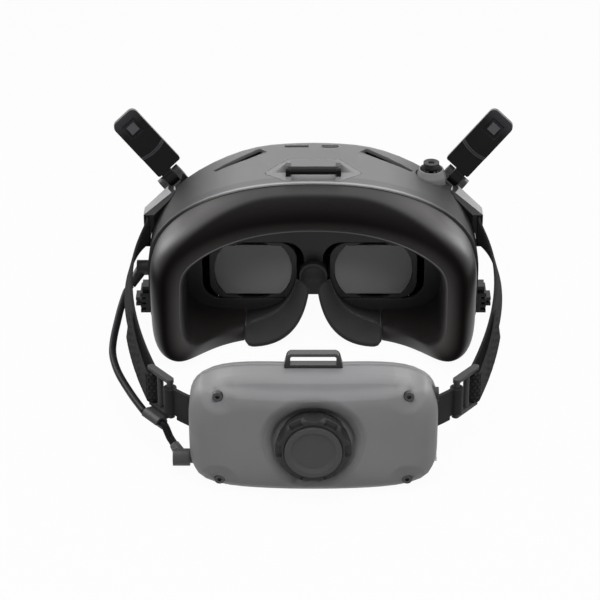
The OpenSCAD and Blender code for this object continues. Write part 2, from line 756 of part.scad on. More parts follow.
// Strap path in plan: down the temple to the loop, round the buckle bar and back as a tail
bar_out = 7;
bar_in = -8;
buckle_a = 51;
pull_a = 250;
strap_lean = 2.4;
turn_r = bar_d / 2 + gap + strap_t / 2;
function on_loop(r, a) = [r * sin(a), loop_y - r * cos(a)];
function strap_h(s) = strap_z + (buckle_z - strap_z) * (1 - pow(1 - s, 1.4));
bar_p = on_loop(loop_r, buckle_a) + bar_out * [cos(buckle_a), sin(buckle_a)];
strap_curve = [[strap_x, lens_y - 3.4], [strap_x + 13, lens_y - 22], [loop_r + 3, lens_y - 58],
    bar_p + turn_r * [cos(pull_a - 90), sin(pull_a - 90)]];
function strap_at(t, out) =
    let (p = bez(strap_curve, t), d = bez(strap_curve, t + 0.01) - bez(strap_curve, t - 0.01))
    let (e = [-d[1], d[0]] / norm(d), q = p + out * e, g = -strap_lean * sin(180 * sqrt(max(t, 0))))
    [q[0], q[1], strap_h(t), g * e[0], g * e[1]];
strap_path = concat(
    [[strap_x, lens_y + 1, strap_z, 0, 0]],
    [for (k = [0 : 20]) strap_at(k / 20, 0)],
    [for (k = [1 : 7]) let (a = pull_a - 90 + k * 22.5)
        [bar_p[0] + turn_r * cos(a), bar_p[1] + turn_r * sin(a), buckle_z, 0, 0]],
    [for (k = [0 : 8]) strap_at(1 - k * 0.04, mix(2 * turn_r, strap_t + 0.3, k / 8))]);

module left_strap() {
    color("#3d3d40") mirror([1, 0, 0]) strip(strap_path, strap_w, strap_t);
}

module right_strap() {
    color("#3d3d40") strip(strap_path, strap_w, strap_t);
}

// Frame of the buckle: three bars between two rails
module buckle() {
    h = strap_w / 2 + 0.45;
    translate([0, loop_y, buckle_z]) rotate([0, 0, buckle_a]) translate([0, -loop_r, 0]) {
        for (x = [bar_in, 0, bar_out]) translate([x, 0, -h - 1]) cylinder(d = bar_d, h = 2 * h + 2);
        for (z = [-h - 2, h]) translate([0, 0, z]) linear_extrude(2)
            translate([(bar_in + bar_out) / 2, 0])
                round_rect(bar_out - bar_in + bar_d + 0.6, bar_d + 0.4, 1.6);
    }
}

module left_buckle() {
    color("#6a6a6d") mirror([1, 0, 0]) buckle();
}

module right_buckle() {
    color("#6a6a6d") buckle();
}

// Toothed bands: one end turns round the buckle bar, the other meshes with the pinion
pitch_r = pinion_n / 2;
tooth_step = 180 / loop_r;
eye_a = buckle_a + atan(bar_in / loop_r);

// Band with its teeth on the side s of the pinion: +1 above, -1 below
module band(s) {
    r0 = loop_r - band_t / 2;
    r1 = loop_r + band_t / 2;
    lo = band_z - band_w / 2;
    hi = band_z + band_w / 2;
    eye_lo = buckle_z - strap_w / 2 - 0.1;
    z_arm = knob_z + s * (pitch_r + 1.05);
    foot = s > 0 ? lo : lo - 1.2;
    difference() {
        union() {
            difference() {
                loop_sector(r0, r1, foot, hi, -13.4, eye_a - 1.2);
                loop_sector(r0 - 2, r1 + 2, s > 0 ? foot - 5 : z_arm, s > 0 ? z_arm : hi + 5, -20, 21.5);
                loop_sector(r0 - 2, r1 + 2, foot - 5, eye_lo, eye_a - 2.8, eye_a + 5);
                if (s < 0)
                    loop_sector(r0 - 2, r1 + 2, foot - 5, lo, 25, eye_a + 5);
            }
            translate([0, loop_y, eye_lo + 0.2]) rotate([0, 0, buckle_a]) translate([bar_in, -loop_r, 0])
                cylinder(r = bar_d / 2 + 1.6, h = hi - eye_lo - 0.4);
            for (k = [-6 : 6]) translate([0, loop_y, z_arm]) rotate([0, 0, (k - 0.5) * tooth_step])
                plate_xz(0.15 - r1, band_t - 0.3)
                    polygon([[-1.1, s * 0.3], [1.1, s * 0.3], [0.3, -s * 1.8], [-0.3, -s * 1.8]]);
        }
        translate([0, loop_y, 0]) rotate([0, 0, buckle_a]) translate([bar_in, -loop_r, 0])
            cylinder(r = bar_d / 2 + 0.15, h = 80);
    }
}

module left_band() {
    color("#59595c") mirror([1, 0, 0]) band(1);
}

module right_band() {
    color("#59595c") band(-1);
}

clip_r = cable_d / 2 + 2.4;
clip_z = buckle_z - strap_w / 2 - 2.7;

// Clip that hangs the cable under the left buckle
module cable_clip() {
    color("#6a6a6d") translate([0, loop_y, clip_z]) rotate([0, 0, -buckle_a]) translate([0, -loop_r, 0])
        difference() {
            union() {
                translate([-6, -4.4, -1.6]) cube([12, 6, 1.6]);
                translate([-6, -clip_r, -1.2 - cable_d / 2])
                    rotate([0, 90, 0]) cylinder(d = cable_d + 3, h = 12);
            }
            translate([-7, -clip_r, -1.2 - cable_d / 2])
                rotate([0, 90, 0]) cylinder(d = cable_d + 0.5, h = 14);
            translate([-7, -clip_r - 6, -cable_d - 4]) cube([14, 6, cable_d * 0.6 + 2.6]);
        }
}

// Middle of the clip bore, and a point along it
clip_c = [-on_loop(loop_r + clip_r, buckle_a)[0], on_loop(loop_r + clip_r, buckle_a)[1],
    clip_z - 1.2 - cable_d / 2];
clip_d = [cos(buckle_a), -sin(buckle_a), 0];
plug_c = [-body_w / 2 - 3.6, socket_y, socket_z];
boot_d = [-0.55, -0.5, -0.67];
plug_d = [-0.5, 0.77, 0.4];
cell_p = [-case_w / 2 - 4, case_rear0 + 21.5, 9];

module front_cable() {
    boot_end = plug_c + boot_d * 11.3;
    color("#121213") cord(route([boot_end, boot_end + boot_d * 2, boot_end + boot_d * 4.5,
        [-101, lens_y - 35, 24.5], [-102.5, lens_y - 62, 20], [-99, lens_y - 80, 18.6],
        [-91.5, lens_y - 99, 17.6], clip_c - clip_d * 9, clip_c - clip_d * 6.3,
        clip_c - clip_d * 0.15], 4), cable_d);
}

module rear_cable() {
    boot_end = cell_p + plug_d * 8.3;
    color("#121213") cord(route([clip_c + clip_d * 0.15, clip_c + clip_d * 6.3, clip_c + clip_d * 8.6,
        boot_end + plug_d * 4.5, boot_end + plug_d * 2, boot_end], 3), cable_d);
}

module goggles_plug() {
    color("#1a1a1b") {
        translate([-body_w / 2 - 6.6, socket_y, socket_z]) rotate([0, 90, 0]) cylinder(d = 8, h = 6);
        translate([-body_w / 2 - 1, socket_y, socket_z]) rotate([0, 90, 0]) cylinder(d = 5.5, h = 4);
        translate(plug_c) rotate([0, 0, atan2(boot_d[1], boot_d[0])]) rotate([0, acos(boot_d[2]), 0])
            cylinder(d1 = 6.4, d2 = cable_d + 1, h = 11);
    }
}

module battery_plug() {
    color("#56565a") {
        translate(cell_p + [-4.4, 0, 0]) rotate([0, 90, 0]) cylinder(d = 8.4, h = 8.2);
        translate(cell_p + [3, 0, 0]) rotate([0, 90, 0]) cylinder(d = 5.8, h = 6);
        translate(cell_p) rotate([0, 0, atan2(plug_d[1], plug_d[0])]) rotate([0, acos(plug_d[2]), 0])
            cylinder(d1 = 6.4, d2 = cable_d + 1, h = 8);
    }
}

function case_ring(inset, rear, dy, k = 1) = [for (i = [0 : sides - 1])
    let (p = k * rim(i * 360 / sides, case_w / 2 - inset, case_z - inset, case_z - inset, 3.6, 6))
    [p[0], (rear ? case_rear(p[0]) : case_front(p[0])) + dy, case_z + p[1]]];

module case_slots() {
    both() loop_sector(loop_r - band_t / 2 - run_gap, loop_r + band_t / 2 + run_gap,
        band_z - band_w / 2 - run_gap, band_z + band_w / 2 + run_gap, 28, 48);
}

module case_holes() {
    for (x = [-44.5, 44.5], z = [7.5, case_h - 8])
        translate([x, case_rear(x), z]) rotate([-90, 0, 0]) children();
}

// Outside of the rear shell as a full solid
module case_envelope() {
    r = case_r;
    cap_solid([case_ring(r, true, 0, 0.5), case_ring(r, true, 0), case_ring(r * 0.5, true, r * 0.134),
        case_ring(r * 0.134, true, r * 0.5), case_ring(0, true, r), case_ring(0, false, -seam_in)],
        [0, case_rear0, case_z], [0, case_front0 - seam_in, case_z]);
}

module case_rear_shell() {
    r = case_r;
    w = case_wall;
    color("#737376") difference() {
        union() {
            cap_solid([case_ring(r, true, 0, 0.5), case_ring(r, true, 0), case_ring(r * 0.5, true, r * 0.134),
                case_ring(r * 0.134, true, r * 0.5), case_ring(0, true, r), case_ring(0, false, -seam_in),
                case_ring(w, false, -seam_in), case_ring(w, true, r),
                case_ring(r * 0.134 + w * 0.87, true, r * 0.5 + w * 0.5),
                case_ring(r * 0.5 + w * 0.5, true, r * 0.134 + w * 0.87),
                case_ring(r, true, w), case_ring(r, true, w, 0.5)],
                [0, case_rear0, case_z], [0, case_rear0 + w, case_z]);
            translate([0, case_rear0 + 0.6, knob_z]) rotate([-90, 0, 0]) cylinder(r = 23, h = 4.4);
            intersection() {
                case_holes() translate([0, 0, -3]) cylinder(r = 4.6, h = 13);
                case_envelope();
            }
        }
        translate([0, case_rear0 - 1, knob_z]) rotate([-90, 0, 0])
            cylinder(r1 = knob_d / 2 + 2.6, r2 = knob_d / 2 + 1, h = 4);
        translate([0, case_rear0, knob_z]) rotate([-90, 0, 0]) cylinder(r = 3.2, h = 9);
        case_holes() translate([0, 0, -4]) cylinder(r = 2.65, h = 7.4);
        case_holes() cylinder(r = 1.4, h = 12);
        case_slots();
        translate(cell_p) rotate([0, 90, 0]) cylinder(d = 6.4, h = 12);
        translate([case_w / 2 - 8, button_y, button_z])
            rotate([0, 90, 0]) cylinder(r = 3.4 + run_gap, h = 12);
        translate([case_w / 2 - 8, button_y, charge_z]) cube([20, 9.6, 3.8], center = true);
    }
}

button_y = case_rear0 + 21;
button_z = 45;
charge_z = 11;

module case_front_shell() {
    r = 5;
    w = case_wall;
    color("#77777a") difference() {
        cap_solid([case_ring(r, false, -w, 0.5), case_ring(r, false, -w), case_ring(w, false, -r),
            case_ring(w, false, -seam_in + 0.15), case_ring(0, false, -seam_in + 0.15),
            case_ring(0, false, -r), case_ring(r * 0.3, false, -r * 0.3), case_ring(r, false, 0),
            case_ring(r, false, 0, 0.5)],
            [0, case_front0 - w, case_z], [0, case_front0, case_z]);
        case_slots();
    }
}

module head_pad() {
    t = head_pad_t;
    color("#2a2422") cap_solid([case_ring(9, false, 0.3, 0.5), case_ring(9, false, 0.3),
        case_ring(8, false, t * 0.45), case_ring(9.6, false, t * 0.8), case_ring(13, false, t),
        case_ring(13, false, t * 1.08, 0.5)],
        [0, case_front0 + 0.3, case_z], [0, case_front0 + t * 1.1, case_z]);
}

// Upright loop on the case for the strap over the crown
module case_strap_loop() {
    color("#5d5d60") plate_xz(case_front0 - 10, 4) translate([0, case_h + 0.2]) difference() {
        polygon([[-13.65, 0], [13.65, 0], [13.65, 1.4], [12.5, 5.7], [11.9, 6.8], [10.7, 7.6],
            [-10.7, 7.6], [-11.9, 6.8], [-12.5, 5.7], [-13.65, 1.4]]);
        polygon([[-10.75, 1.6], [10.75, 1.6], [10.75, 5.4], [10.1, 6], [-10.1, 6], [-10.75, 5.4]]);
    }
}

module case_screws() {
    color("#3a3b3e") case_holes() difference() {
        union() {
            translate([0, 0, 1.2]) cylinder(r = 2.4, h = 2.2);
            translate([0, 0, 3]) cylinder(r = 1.35, h = 7);
        }
        translate([0, 0, 0.6]) cylinder(r = 1.1, h = 1.8, $fn = 6);
    }
}

// Ring of the knob with six scallops round its edge and a finger notch between them
module tension_knob() {
    y0 = case_rear0 + 3 - run_gap;
    l = y0 - knob_end - 1.4;
    color("#3f3f42") difference() {
        translate([0, y0, knob_z]) rotate([90, 0, 0]) {
            cylinder(d = knob_d - 3, h = l);
            translate([0, 0, 2]) cylinder(d1 = knob_d - 2, d2 = knob_d, h = l - 4);
            translate([0, 0, l - 2]) cylinder(d1 = knob_d, d2 = knob_d - 2.4, h = 2);
        }
        for (k = [0 : 5]) translate([0, y0 + 1, knob_z]) rotate([90, k * 60 + 30, 0])
            translate([knob_d / 2 + 7.1, 0, 0]) cylinder(r = 9, h = l + 3);
        for (k = [0 : 5]) translate([0, knob_end + 0.4, knob_z]) rotate([0, k * 60, 0])
            translate([knob_d * 0.375 + 1.2, 0, -3.2]) cube([6, 2.6, 6.4]);
        translate([0, knob_end + 3.4, knob_z])
            rotate([90, 0, 0]) cylinder(d = knob_d * 0.75 + 2 * gap, h = 4);
        translate([0, y0 + 1, knob_z]) rotate([90, 0, 0]) cylinder(r = 3.02, h = l + 3);
    }
}

module knob_cap() {
    color("#8b8b8e") translate([0, knob_end + 3.2, knob_z]) rotate([90, 0, 0]) difference() {
        cylinder(d = knob_d * 0.75, h = 3.2);
        translate([0, 0, 2]) cylinder(r1 = knob_d * 0.265, r2 = knob_d * 0.315, h = 1.3);
    }
}

// Pinion with involute teeth on the knob shaft
module pinion_shaft() {
    a = 25;
    rb = pitch_r * cos(a);
    inv = tan(a) * 180 / PI - a;
    half = 90 / pinion_n - 2.6;
    color("#a9abb0") translate([0, 0, knob_z]) {
        translate([0, case_rear0 + band_in + 3, 0]) rotate([90, 0, 0]) linear_extrude(5.6) difference() {
            circle(r = pitch_r + 0.75);
            for (k = [0 : pinion_n - 1]) rotate([0, 0, 90 + (k + 0.5) * 360 / pinion_n])
                polygon([for (s = [-1, 1], j = [0 : 5])
                    let (r = mix(pitch_r - 1.1, pitch_r + 1.2, s < 0 ? j / 5 : 1 - j / 5))
                    let (q = r > rb ? acos(rb / r) : 0, v = tan(q) * 180 / PI - q)
                    let (w = 180 / pinion_n - half - inv + v)
                    [r * cos(s * w), r * sin(s * w)]]);
        }
        translate([0, case_rear0 + band_in + 3, 0]) rotate([90, 0, 0])
            cylinder(r = 3, h = band_in + knob_out - 0.6);
    }
}

// Two flat cells, as wide as the bands leave room for
cell_y = case_front0 - case_wall - 0.3;
cell_w = 2 * sqrt(pow(loop_r - band_t / 2 - 1.2, 2) - pow(loop_y - cell_y + 9, 2));

module battery_cells() {
    color("#3c5f86") for (k = [0 : 1])
        translate([-cell_w / 2, cell_y - 4.5 * (k + 1), 8])
            cube([cell_w, 4.4, case_h - 17.5]);
}

module battery_board() {
    color("#1f4a34") translate([-cell_w / 2 - 4, cell_y - 11.2, case_h - 9.3])
        cube([cell_w + 8, 9, 1.4]);
}

module power_button() {
    color("#4a4a4d") translate([case_w / 2 - 7.2, button_y, button_z]) rotate([0, 90, 0]) {
        cylinder(r = 3.4, h = 7.4);
        cylinder(r = 4.4, h = 1.4);
    }
}

module charge_port() {
    color("#9a9ca0") translate([case_w / 2 - 7, button_y, charge_z]) rotate([0, 90, 0]) difference() {
        linear_extrude(7) rotate([0, 0, 90]) round_rect(9.1, 3.2, 1.5);
        translate([0, 0, 1]) linear_extrude(7) rotate([0, 0, 90]) round_rect(8.3, 2.4, 1.1);
    }
}

housing();
front_cover();
bottom_covers();
eye_plate();
face_pad();
nose_flaps();
nose_scoop();
left_strap_arm();
right_strap_arm();
top_strap_loop();
left_antenna_bracket();
right_antenna_bracket();
antenna_pins();
left_antenna();
right_antenna();
joystick_base();
joystick_gimbal();
joystick_stem();
joystick_cap();
left_eyepiece();
right_eyepiece();
left_lens();
right_lens();
left_display();
right_display();
optics_chassis();
ipd_rails();
mainboard();
heat_sink();
fan_frame();
fan_rotor();
usb_port();
card_slot();
power_socket();
side_vents();
housing_screws();
left_strap();
right_strap();
left_buckle();
right_buckle();
left_band();
right_band();
cable_clip();
front_cable();
rear_cable();
goggles_plug();
battery_plug();
case_rear_shell();
case_front_shell();
head_pad();
case_strap_loop();
case_screws();
tension_knob();
knob_cap();
pinion_shaft();
battery_cells();
battery_board();
power_button();
charge_port();
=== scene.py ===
import math
import bmesh
import bpy
from bpy.props import FloatProperty, FloatVectorProperty, PointerProperty
from bpy.types import NodeSocket, Operator, Panel, PropertyGroup, Scene
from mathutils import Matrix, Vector


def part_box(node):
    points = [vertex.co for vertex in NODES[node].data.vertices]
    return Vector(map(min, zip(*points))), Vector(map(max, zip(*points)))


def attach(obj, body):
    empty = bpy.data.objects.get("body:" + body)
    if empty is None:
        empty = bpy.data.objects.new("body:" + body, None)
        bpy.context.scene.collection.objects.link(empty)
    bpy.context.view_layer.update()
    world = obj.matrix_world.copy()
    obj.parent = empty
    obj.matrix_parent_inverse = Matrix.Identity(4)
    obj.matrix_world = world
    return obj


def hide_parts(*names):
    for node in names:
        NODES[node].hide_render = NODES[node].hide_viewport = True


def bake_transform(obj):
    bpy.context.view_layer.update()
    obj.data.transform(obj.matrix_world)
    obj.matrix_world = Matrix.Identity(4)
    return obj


bl_info = {
    "name": "Goggles dresser",
    "version": (1, 0, 0),
    "blender": (4, 5, 0),
    "location": "3D View > Sidebar > Goggles",
    "description": "Dresses the packed goggles with soft pieces, finishes, light and a camera",
    "category": "Object",
}

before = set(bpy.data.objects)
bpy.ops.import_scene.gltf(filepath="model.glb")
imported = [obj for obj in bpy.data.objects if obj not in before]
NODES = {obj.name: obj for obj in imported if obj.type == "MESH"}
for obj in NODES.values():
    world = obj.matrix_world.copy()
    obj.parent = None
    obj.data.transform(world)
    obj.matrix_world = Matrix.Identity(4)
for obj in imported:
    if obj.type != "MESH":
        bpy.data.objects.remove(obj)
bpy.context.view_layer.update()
MM = 0.001
MICRON = 0.000001
SIDE_SIGNS = {"left": -1, "right": 1}


def solid_box(name):
    """Low and high corner of a solid's box, in millimetres."""
    return [[round(x / MM, 3) for x in corner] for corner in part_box(name)]


# Places that the solids set, in millimetres
PLATE_Y = solid_box("eye_plate")[0][1]
HOUSING_X, HOUSING_Z = solid_box("housing")[1][::2]
CASE_X, CASE_Z = solid_box("case_rear_shell")[1][::2]
SOFT_GAP = 0.25
SEAM_Y = solid_box("face_pad")[1][1] + SOFT_GAP


# Settings

def length(text, mm):
    """A length setting, given in millimetres."""
    return FloatProperty(name=text, default=mm * MM, unit="LENGTH", precision=5)


def colour(text, value):
    """A colour setting."""
    return FloatVectorProperty(name=text, default=value, subtype="COLOR", size=3, min=0, max=1)


def power(text, watts):
    """A lamp's power setting."""
    return FloatProperty(name=text, default=watts, unit="POWER")


class GogglesSoftSizes(PropertyGroup):
    pad_half_width: length("Half width of the face pad", 84.8)
    pad_depth: length("Pad depth at the forehead", 28)
    pad_side: length("Extra pad depth at the temples", 22)
    pad_roll_side: length("Pad roll at the temples", 20)
    pad_roll_top: length("Pad roll at the forehead", 17)
    pad_nose_gap: length("Half width of the nose gap", 36)
    flap_thickness: length("Nose flap thickness", 1.4)
    strap_width: length("Strap width", 16.6)
    strap_thickness: length("Strap thickness", 1.6)
    rib_pitch: length("Pitch of the strap ribs", 1.5)
    head_pad_thickness: length("Head pad thickness", 6)
    cable_diameter: length("Cable diameter", 3.8)


class GogglesFinishes(PropertyGroup):
    shell: colour("Housing and battery case", (0.165, 0.165, 0.169))
    dark: colour("Covers, brackets and fittings", (0.014, 0.014, 0.015))
    black: colour("Eye plate and eyepieces", (0.019, 0.019, 0.0205))
    antenna: colour("Antennas, side vents and crown bar", (0.005, 0.005, 0.0055))
    knob: colour("Tension knob", (0.022, 0.022, 0.023))
    skin: colour("Leatherette of the face pad", (0.008, 0.0066, 0.0062))
    # hem: colour of the painted highlight on the pad's inner rim and outer flanks
    hem: colour("Rim and corners of the face pad", (0.054, 0.05, 0.049))
    # Colour of the light bead along the pad's inner rim, a painted highlight.
    piping: colour("Piping of the face pad", (0.06, 0.057, 0.056))
    rubber: colour("Nose flaps", (0.022, 0.022, 0.023))
    webbing: colour("Side straps and bands", (0.02, 0.02, 0.021))
    buckle: colour("Buckles, clip and case loop", (0.038, 0.038, 0.04))
    cable: colour("Power cable", (0.008, 0.008, 0.009))


class GogglesStudio(PropertyGroup):
    distance: length("Camera distance", 1200)
    elevation: FloatProperty(name="Camera elevation", default=math.radians(30), subtype="ANGLE")
    aim: length("Camera aim ahead of the middle", 59)
    lens: FloatProperty(name="Focal length in millimetres", default=133.5)
    back_light: power("Back light", 1.5)
    top_light: power("Top light", 6)
    side_light: power("Each side light", 13)
    front_light: power("Front light", 24)
    floor: colour("Floor", (0.5, 0.5, 0.5))


def size(name):
    """A soft size, in millimetres."""
    return getattr(bpy.context.scene.goggles_soft, name) / MM


def scaled(rgb, k):
    return tuple(min(1, x * k) for x in rgb)


def tint(name, k=1):
    """A finish colour, k times as light."""
    return scaled(getattr(bpy.context.scene.goggles_finish, name), k)


# Meshes

def mesh_object(name, points, faces, smooth=True):
    """A new mesh object from points in millimetres."""
    mesh = bpy.data.meshes.new(name)
    mesh.from_pydata([tuple(x * MM for x in p) for p in points], [], faces)
    mesh.validate()
    mesh.update()
    for face in mesh.polygons:
        face.use_smooth = smooth
    obj = bpy.data.objects.new(name, mesh)
    bpy.context.scene.collection.objects.link(obj)
    return obj


def skin_rings(rings):
    """Points and faces of closed rings joined in a row, with a fan at each end."""
    n = len(rings[0])
    points = [p for ring in rings for p in ring]
    faces = []
    for r in range(len(rings) - 1):
        for c in range(n):
            d = (c + 1) % n
            faces.append((r * n + c, r * n + d, (r + 1) * n + d, (r + 1) * n + c))
    for row, turn in ((0, -1), (len(rings) - 1, 1)):
        points.append(sum(rings[row], Vector()) / n)
        hub = len(points) - 1
        for c in range(n):
            faces.append((hub, *(row * n + c, row * n + (c + 1) % n)[::turn]))
    return points, faces


def give(obj, material):
    obj.data.materials.clear()
    obj.data.materials.append(material)


def closed_piece(name, rings, material, sign=1):
    """A smooth closed piece over rings of points, on the side of sign, with its faces turned outward."""
    obj = mesh_object(name, *skin_rings([mirrored(ring, sign) for ring in rings]))
    work = bmesh.new()
    work.from_mesh(obj.data)
    bmesh.ops.recalc_face_normals(work, faces=work.faces)
    work.to_mesh(obj.data)
    work.free()
    give(obj, material)
    return obj


def paint_map(obj, name, values):
    """A UV map that holds a pair of values for each point."""
    layer = obj.data.uv_layers.new(name=name)
    for loop in obj.data.loops:
        layer.data[loop.index].uv = values[loop.vertex_index]


def mirrored(points, sign=-1):
    """Points with their x turned to the side of sign."""
    return [Vector((p.x * sign, p.y, p.z)) for p in points]


def mix(a, b, t):
    return a + (b - a) * t


def rise(x, start, end):
    """0 before start and 1 after end, with a soft change between them."""
    t = min(max((x - start) / (end - start), 0), 1)
    return t * t * (3 - 2 * t)


def arc(share):
    """Height of a quarter circle of radius 1 at a share of its width."""
    return math.sqrt(max(0, 1 - (1 - min(1, share)) ** 2))


def soft_max(a, b, blend):
    """The larger of two values, with a soft change from one to the other."""
    return (a + b + math.sqrt((a - b) ** 2 + blend * blend)) / 2


def bezier(p, t):
    return ((1 - t) ** 3 * p[0] + 3 * t * (1 - t) ** 2 * p[1] + 3 * t * t * (1 - t) * p[2] + t ** 3 * p[3])


def route(points, steps):
    """A smooth line through points."""
    p = [Vector(q) for q in points]
    line = []
    for i in range(len(p) - 1):
        a, b, c, d = p[max(i - 1, 0)], p[i], p[i + 1], p[min(i + 2, len(p) - 1)]
        span = (c - b).length
        m = (c - a) * span / (span + (b - a).length)
        n = (d - b) * span / (span + (d - c).length)
        for k in range(steps + (i == len(p) - 2)):
            t = k / steps
            line.append(b + m * t + (3 * (c - b) - 2 * m - n) * t * t + (m + n - 2 * (c - b)) * t ** 3)
    return line


def spline(points, steps):
    """A cubic B-spline that starts and ends on the end points."""
    p = [points[0]] * 2 + list(points) + [points[-1]] * 2
    line = []
    for i in range(len(p) - 3):
        a, b, c, d = p[i:i + 4]
        for k in range(steps + (i == len(p) - 4)):
            t = k / steps
            line.append((a * (1 - t) ** 3 + b * (3 * t ** 3 - 6 * t * t + 4)
                         + c * (3 * t * (1 + t - t * t) + 1) + d * t ** 3) / 6)
    return line


def rim(t, w, up, down, n_up, n_down):
    """Point of a superellipse with its own height and squareness above and below the middle."""
    c, s = math.cos(math.radians(t)), math.sin(math.radians(t))
    n, h = (n_up, up) if s >= 0 else (n_down, down)
    k = (abs(c) ** n + abs(s) ** n) ** (-1 / n)
    return w * k * c, h * k * s


def tube(name, line, radius, material, sides=20, taper=0):
    """A round tube along a line, thinner over the last taper points at each end."""
    rings, side = [], None
    for i, p in enumerate(line):
        to_end = min(i, len(line) - 1 - i)
        r = radius * math.sin(math.pi / 2 * min(1, (1 + to_end) / taper)) if taper else radius
        ahead = (line[min(i + 1, len(line) - 1)] - line[max(i - 1, 0)]).normalized()
        side = ahead.cross(Vector((0, 0, 1))) if side is None else side - ahead * side.dot(ahead)
        side.normalize()
        up = side.cross(ahead)
        angles = [k * math.tau / sides for k in range(sides)]
        rings.append([p + (side * math.cos(a) + up * math.sin(a)) * r for a in angles])
    return closed_piece(name, rings, material)


# Node trees

FLOAT, VECTOR, GEOMETRY = "NodeSocketFloat", "NodeSocketVector", "NodeSocketGeometry"
SOFT_STEP = "SMOOTHSTEP"


class Tree:
    """Adds nodes to a tree and links them."""

    def __init__(self, tree):
        self.tree = tree

    def fill(self, node, inputs):
        """Sets inputs of a node to values or links them to sockets."""
        for key, value in inputs.items():
            if isinstance(value, NodeSocket):
                self.tree.links.new(value, node.inputs[key])
            else:
                node.inputs[key].default_value = value
        return node

    def add(self, kind, inputs=None, **settings):
        node = self.tree.nodes.new(kind)
        for key, value in settings.items():
            setattr(node, key, value)
        return self.fill(node, inputs or {})

    def socket(self, name, way, kind):
        return self.tree.interface.new_socket(name, in_out=way, socket_type=kind)

    def group(self, name, **inputs):
        """Outputs of a node of the named group, which is built at its first use."""
        tree = bpy.data.node_groups.get(name) or GROUP_MAKERS[name]()
        return self.add("ShaderNodeGroup", inputs, node_tree=tree).outputs

    def place(self):
        """The point on the piece, in metres."""
        return self.add("ShaderNodeTexCoord").outputs["Object"]

    def axes(self, vector):
        return self.add("ShaderNodeSeparateXYZ", {0: vector}).outputs

    def noise(self, scale, detail, **inputs):
        return self.add("ShaderNodeTexNoise", {"Vector": self.place(), "Scale": scale, "Detail": detail,
                                               **inputs}).outputs["Fac"]

    def cells(self, vector, scale, spread=1, **settings):
        """Distances in a pattern of cells."""
        return self.add("ShaderNodeTexVoronoi", {"Vector": vector, "Scale": scale, "Randomness": spread},
                        **settings).outputs["Distance"]

    def math(self, operation, *values):
        return self.add("ShaderNodeMath", dict(enumerate(values)), operation=operation).outputs[0]

    def vector_math(self, operation, inputs, output=0):
        return self.add("ShaderNodeVectorMath", inputs, operation=operation).outputs[output]

    def weigh(self, a, of_a, b, of_b):
        """a times of_a plus b times of_b."""
        return self.math("ADD", self.math("MULTIPLY", a, of_a), self.math("MULTIPLY", b, of_b))

    def span(self, value, low, high, to_low=0, to_high=1, step="LINEAR"):
        """value carried from low..high to to_low..to_high."""
        return self.add("ShaderNodeMapRange", {
            "Value": value, "From Min": low, "From Max": high, "To Min": to_low, "To Max": to_high},
            interpolation_type=step).outputs[0]

    def blend(self, factor, a, b):
        """Colour between a and b, each a socket or a colour."""
        ends = {key: x if isinstance(x, NodeSocket) else (*x, 1) for key, x in ((6, a), (7, b))}
        return self.add("ShaderNodeMix", {0: factor, **ends}, data_type="RGBA").outputs[2]


class Group(Tree):
    """The tree of a new shader node group, with its inputs."""

    def __init__(self, name, **inputs):
        super().__init__(bpy.data.node_groups.new(name, "ShaderNodeTree"))
        for key, value in inputs.items():
            kind = VECTOR if isinstance(value, tuple) else FLOAT
            self.socket(key, "INPUT", kind).default_value = value
        self.given = self.add("NodeGroupInput").outputs

    def made(self, **outputs):
        """The group, with its outputs fed."""
        for key, source in outputs.items():
            self.socket(key, "OUTPUT", VECTOR if source.type == "VECTOR" else FLOAT)
        self.add("NodeGroupOutput", outputs)
        return self.tree


def grain_group():
    """Spark-eroded mould texture, with slow drifts of tone."""
    t = Group("Moulded grain", Scale=1500.0, Drift=30.0)
    fine = t.noise(t.given["Scale"], 3, Roughness=0.6)
    pits = t.cells(t.place(), t.math("MULTIPLY", t.given["Scale"], 0.6))
    drift = t.noise(t.given["Drift"], 4)
    return t.made(Height=t.weigh(fine, 0.6, pits, 0.5), Tone=t.span(drift, 0.3, 0.7))


def edge_group():
    """Rounded edges: a normal that turns round them and a mask along them, where colour is lifted for rubbed
    wear and for a painted highlight.
    """
    t = Group("Edge wear", Radius=0.0004)
    bevel = t.add("ShaderNodeBevel", {"Radius": t.given["Radius"]}, samples=4).outputs[0]
    flat = t.add("ShaderNodeNewGeometry").outputs["Normal"]
    turned = t.span(t.vector_math("DOT_PRODUCT", {0: bevel, 1: flat}, "Value"), 0.985, 0.85)
    patch = t.span(t.noise(400, 3), 0.35, 0.65, 0.3, 1)
    return t.made(Mask=t.math("MULTIPLY", turned, patch), Normal=bevel)


def leather_group():
    """Pebbled leather grain with fine creases."""
    t = Group("Leather grain", Scale=900.0)
    warp = t.noise(500, 2).node.outputs["Color"]
    bent = t.vector_math("SCALE", {0: warp, "Scale": 0.6 * MM})
    moved = t.vector_math("ADD", {0: t.place(), 1: bent})
    creases = t.cells(moved, t.given["Scale"], feature="DISTANCE_TO_EDGE")
    pebble = t.span(creases, 0, 0.3, step=SOFT_STEP)
    return t.made(Height=t.weigh(pebble, 0.8, t.noise(2500, 2), 0.25), Tone=t.span(t.noise(45, 3), 0.3, 0.7))


def weave_group():
    """Woven ribs from a map in millimetres: across in X, along in Y."""
    t = Group("Webbing weave", Map=(0.0, 0.0, 0.0), Rib=1.5, Thread=0.9)

    def wave(turns):
        return t.math("ABSOLUTE", t.math("SINE", t.math("MULTIPLY", turns, math.pi)))
    axes = t.axes(t.given["Map"])
    across = t.math("DIVIDE", axes[0], t.given["Thread"])
    along = t.math("DIVIDE", axes[1], t.given["Rib"])
    shift = t.math("MULTIPLY", t.math("FLOOR", across), 0.5)
    height = t.math("MULTIPLY", wave(t.math("ADD", along, shift)), t.math("POWER", wave(across), 0.5))
    fuzz = t.noise(6, 3, Vector=t.given["Map"])
    return t.made(Height=t.weigh(height, 1, fuzz, 0.3),
                  Tone=t.math("MULTIPLY", height, t.span(fuzz, 0.2, 0.8, 0.7, 1)))


